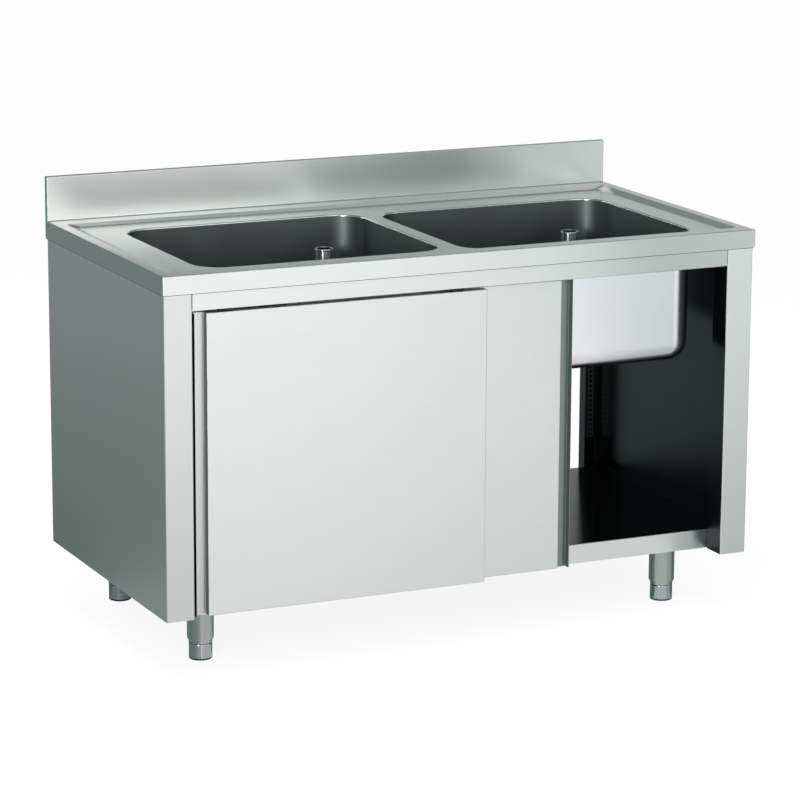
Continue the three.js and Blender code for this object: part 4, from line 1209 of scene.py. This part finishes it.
def add_floor(tone):
    """A wide floor. To the camera it is mostly plain white, with the unit's soft shadow.

    To the steel it has the brightness of the studio in that direction. The direction is taken
    from the nearest point of the rectangle between the legs, so that each leg mirrors it too, and
    the floor darkens by nearly a third close to the unit."""
    reach, whiteness = 40.0, 0.9
    tree = new_material("studio_floor")
    ray = add_node(tree, "ShaderNodeLightPath")
    seen = add_node(
        tree, "ShaderNodeMath", {"operation": "MAXIMUM"},
        {0: (ray, "Is Camera Ray"), 1: (ray, "Is Transmission Ray")})
    lit = add_node(tree, "ShaderNodeBsdfDiffuse", {"Color": shade(tone)})
    white = add_node(tree, "ShaderNodeEmission", {"Color": WHITE, "Strength": 1.0})
    backdrop = add_node(
        tree, "ShaderNodeMixShader", {0: whiteness}, {1: (lit, "BSDF"), 2: (white, "Emission")})
    place = add_node(tree, "ShaderNodeTexCoord")
    low, high = LEG_ROWS
    capped = add_node(
        tree, "ShaderNodeVectorMath", {"operation": "MINIMUM", 1: high}, {0: (place, "Object")})
    nearest = add_node(
        tree, "ShaderNodeVectorMath", {"operation": "MAXIMUM", 1: low}, {0: (capped, "Vector")})
    away = add_node(
        tree, "ShaderNodeVectorMath", {"operation": "SUBTRACT"},
        {0: (place, "Object"), 1: (nearest, "Vector")})
    distance = add_node(
        tree, "ShaderNodeVectorMath", {"operation": "LENGTH"}, {0: (away, "Vector")})
    strength = add_node(
        tree, "ShaderNodeMapRange",
        {"From Min": 0.5, "From Max": 3.4, "To Min": 1.53, "To Max": 2.2},
        {"Value": (distance, "Value")})
    mirrored = surround_glow(tree, (away, "Vector"), (strength, "Result"))
    direct = add_node(
        tree, "ShaderNodeMixShader",
        links={0: (seen, "Value"), 1: (lit, "BSDF"), 2: (backdrop, "Shader")})
    result = add_node(
        tree, "ShaderNodeMixShader",
        links={0: (ray, "Is Glossy Ray"), 1: (direct, "Shader"), 2: (mirrored, "Emission")})
    add_node(tree, "ShaderNodeOutputMaterial", links={"Surface": (result, "Shader")})
    mesh = bpy.data.meshes.new("studio_floor")
    mesh.from_pydata(
        [(-reach, -reach, 0), (reach, -reach, 0), (reach, reach, 0), (-reach, reach, 0)], [],
        [(0, 1, 2, 3)])
    mesh.materials.append(bpy.data.materials["studio_floor"])
    stage_object("studio_floor", mesh)


def add_surround():
    """A wide ring of cards and a ceiling, which only mirrors see: circles of points, joined.

    They have the brightness of the studio in each direction. They dim with a height that is
    counted 0.25 m higher for each metre towards the back, so that the front stays bright the
    longest."""
    steps, radius, foot, ceiling, opening = 96, 12, -0.01, 9.0, 0.5
    tree = new_material("studio_cards")
    place = add_node(tree, "ShaderNodeTexCoord")
    height = add_node(
        tree, "ShaderNodeVectorMath", {"operation": "DOT_PRODUCT", 1: (0.0, 0.25, 1.0)},
        {0: (place, "Object")})
    strength = add_node(
        tree, "ShaderNodeMapRange",
        {"From Min": 1.0, "From Max": ceiling, "To Min": 3.1, "To Max": 0.8},
        {"Value": (height, "Value")})
    glow = surround_glow(tree, (place, "Object"), (strength, "Result"))
    add_node(tree, "ShaderNodeOutputMaterial", links={"Surface": (glow, "Emission")})
    angle = np.linspace(0, 2 * np.pi, steps, endpoint=False)
    circle = np.stack([np.cos(angle), np.sin(angle)], -1)
    rows = [
        np.concatenate([reach * circle, np.full((steps, 1), level)], -1)
        for reach, level in ((radius, foot), (radius, ceiling), (opening, ceiling))]
    mesh = bpy.data.meshes.new("studio_cards")
    mesh.from_pydata(
        np.concatenate(rows), [], quads(len(rows), steps, wrap_columns=True).tolist())
    mesh.materials.append(bpy.data.materials["studio_cards"])
    cards = stage_object("studio_cards", mesh)
    cards.visible_camera = False
    cards.visible_diffuse = False
    cards.visible_shadow = False
    cards.visible_transmission = False


def add_lamp(name, place, target, size, power, mirrored=False):
    """A square soft lamp that points at the target. Most lamps aren't mirrored in the steel."""
    data = bpy.data.lights.new(name, "AREA")
    data.shape, data.size, data.energy = "SQUARE", size, power
    lamp = stage_object(name, data)
    lamp.location = place
    lamp.rotation_euler = (Vector(target) - Vector(place)).to_track_quat("-Z", "Y").to_euler()
    lamp.visible_glossy = mirrored


def add_camera():
    """The camera where the photograph was taken from, by yaw, pitch and roll."""
    place = Vector((-3.192, -6.897, 2.215))
    yaw, pitch, roll = (math.radians(a) for a in (24.87, 12.92, 0.27))
    forward = Vector((
        math.sin(yaw) * math.cos(pitch), math.cos(yaw) * math.cos(pitch), -math.sin(pitch)))
    right = Vector((math.cos(yaw), -math.sin(yaw), 0))
    up = right.cross(forward)
    rolled = right * math.cos(roll) + up * math.sin(roll)
    upright = up * math.cos(roll) - right * math.sin(roll)
    data = bpy.data.cameras.new("camera")
    data.lens, data.sensor_width = 156.33, 36.0
    camera = stage_object("camera", data)
    turned_to = Matrix((rolled, upright, -forward)).transposed().to_4x4()
    camera.matrix_world = Matrix.Translation(place) @ turned_to
    bpy.context.scene.camera = camera


def add_world():
    """A sky that is white to the camera and to mirrors, and softer as a light."""
    world = bpy.data.worlds.new("studio")
    bpy.context.scene.world = world
    world.use_nodes = True
    tree = world.node_tree
    tree.nodes.clear()
    ray = add_node(tree, "ShaderNodeLightPath")
    camera_or_gloss = add_node(
        tree, "ShaderNodeMath", {"operation": "MAXIMUM"},
        {0: (ray, "Is Camera Ray"), 1: (ray, "Is Glossy Ray")})
    seen = add_node(
        tree, "ShaderNodeMath", {"operation": "MAXIMUM"},
        {0: (camera_or_gloss, "Value"), 1: (ray, "Is Transmission Ray")})
    white = add_node(tree, "ShaderNodeBackground", {"Color": WHITE, "Strength": 1.0})
    soft = add_node(tree, "ShaderNodeBackground", {"Color": WHITE, "Strength": 0.8})
    mixed = add_node(
        tree, "ShaderNodeMixShader",
        links={0: (seen, "Value"), 1: (soft, "Background"), 2: (white, "Background")})
    add_node(tree, "ShaderNodeOutputWorld", links={"Surface": (mixed, "Shader")})


class SINK_UNIT_OT_stage(bpy.types.Operator):
    """Sets up the floor, the studio's cards, the lamps, the world and the camera"""

    bl_idname = "sink_unit.stage"
    bl_label = "Stage"

    def execute(self, context):
        add_floor(context.scene.sink_unit_colours.floor)
        add_surround()
        add_lamp("overhead_lamp", (-0.6, -0.8, 4.2), (0, 0, 0.4), size=4.0, power=190)
        add_lamp("front_lamp", (-2.4, -5.0, 3.0), (0, 0, 0.4), size=2.5, power=90)
        add_lamp(
            "side_lamp", (-3.4, -3.5, 1.8), (0, 0, 0.8), size=1.1, power=100, mirrored=True)
        add_world()
        add_camera()
        context.scene.view_settings.view_transform = "Standard"
        return {"FINISHED"}


# ------------------------------------------------------------------ Add-on

OPERATORS = (
    SINK_UNIT_OT_finishes,
    SINK_UNIT_OT_worktop,
    SINK_UNIT_OT_bowls,
    SINK_UNIT_OT_body,
    SINK_UNIT_OT_tracks,
    SINK_UNIT_OT_doors,
    SINK_UNIT_OT_legs,
    SINK_UNIT_OT_stage,
)


class SINK_UNIT_PT_pieces(bpy.types.Panel):
    """Lists the sizes, the colours and the buttons that build the unit"""

    bl_idname = "SINK_UNIT_PT_pieces"
    bl_label = "Sink unit"
    bl_space_type = "VIEW_3D"
    bl_region_type = "UI"
    bl_category = "Sink unit"

    def draw(self, context):
        column = self.layout.column(align=True)
        for operator in OPERATORS:
            column.operator(operator.bl_idname)
        for title, group in (
            ("Sizes", context.scene.sink_unit_sizes), ("Colours", context.scene.sink_unit_colours)):
            box = self.layout.box()
            box.label(text=title)
            for name in group.bl_rna.properties.keys():
                if name not in {"rna_type", "name"}:
                    box.prop(group, name)


CLASSES = (SinkUnitSizes, SinkUnitColours, *OPERATORS, SINK_UNIT_PT_pieces)


def register():
    for item in CLASSES:
        bpy.utils.register_class(item)
    bpy.types.Scene.sink_unit_sizes = bpy.props.PointerProperty(type=SinkUnitSizes)
    bpy.types.Scene.sink_unit_colours = bpy.props.PointerProperty(type=SinkUnitColours)


def unregister():
    del bpy.types.Scene.sink_unit_colours
    del bpy.types.Scene.sink_unit_sizes
    for item in reversed(CLASSES):
        bpy.utils.unregister_class(item)


def main():
    register()
    bpy.ops.sink_unit.finishes()
    bpy.ops.sink_unit.worktop()
    bpy.ops.sink_unit.bowls()
    bpy.ops.sink_unit.body()
    bpy.ops.sink_unit.tracks()
    bpy.ops.sink_unit.doors()
    bpy.ops.sink_unit.legs()
    bpy.ops.sink_unit.stage()


if __name__ == "__main__":
    main()
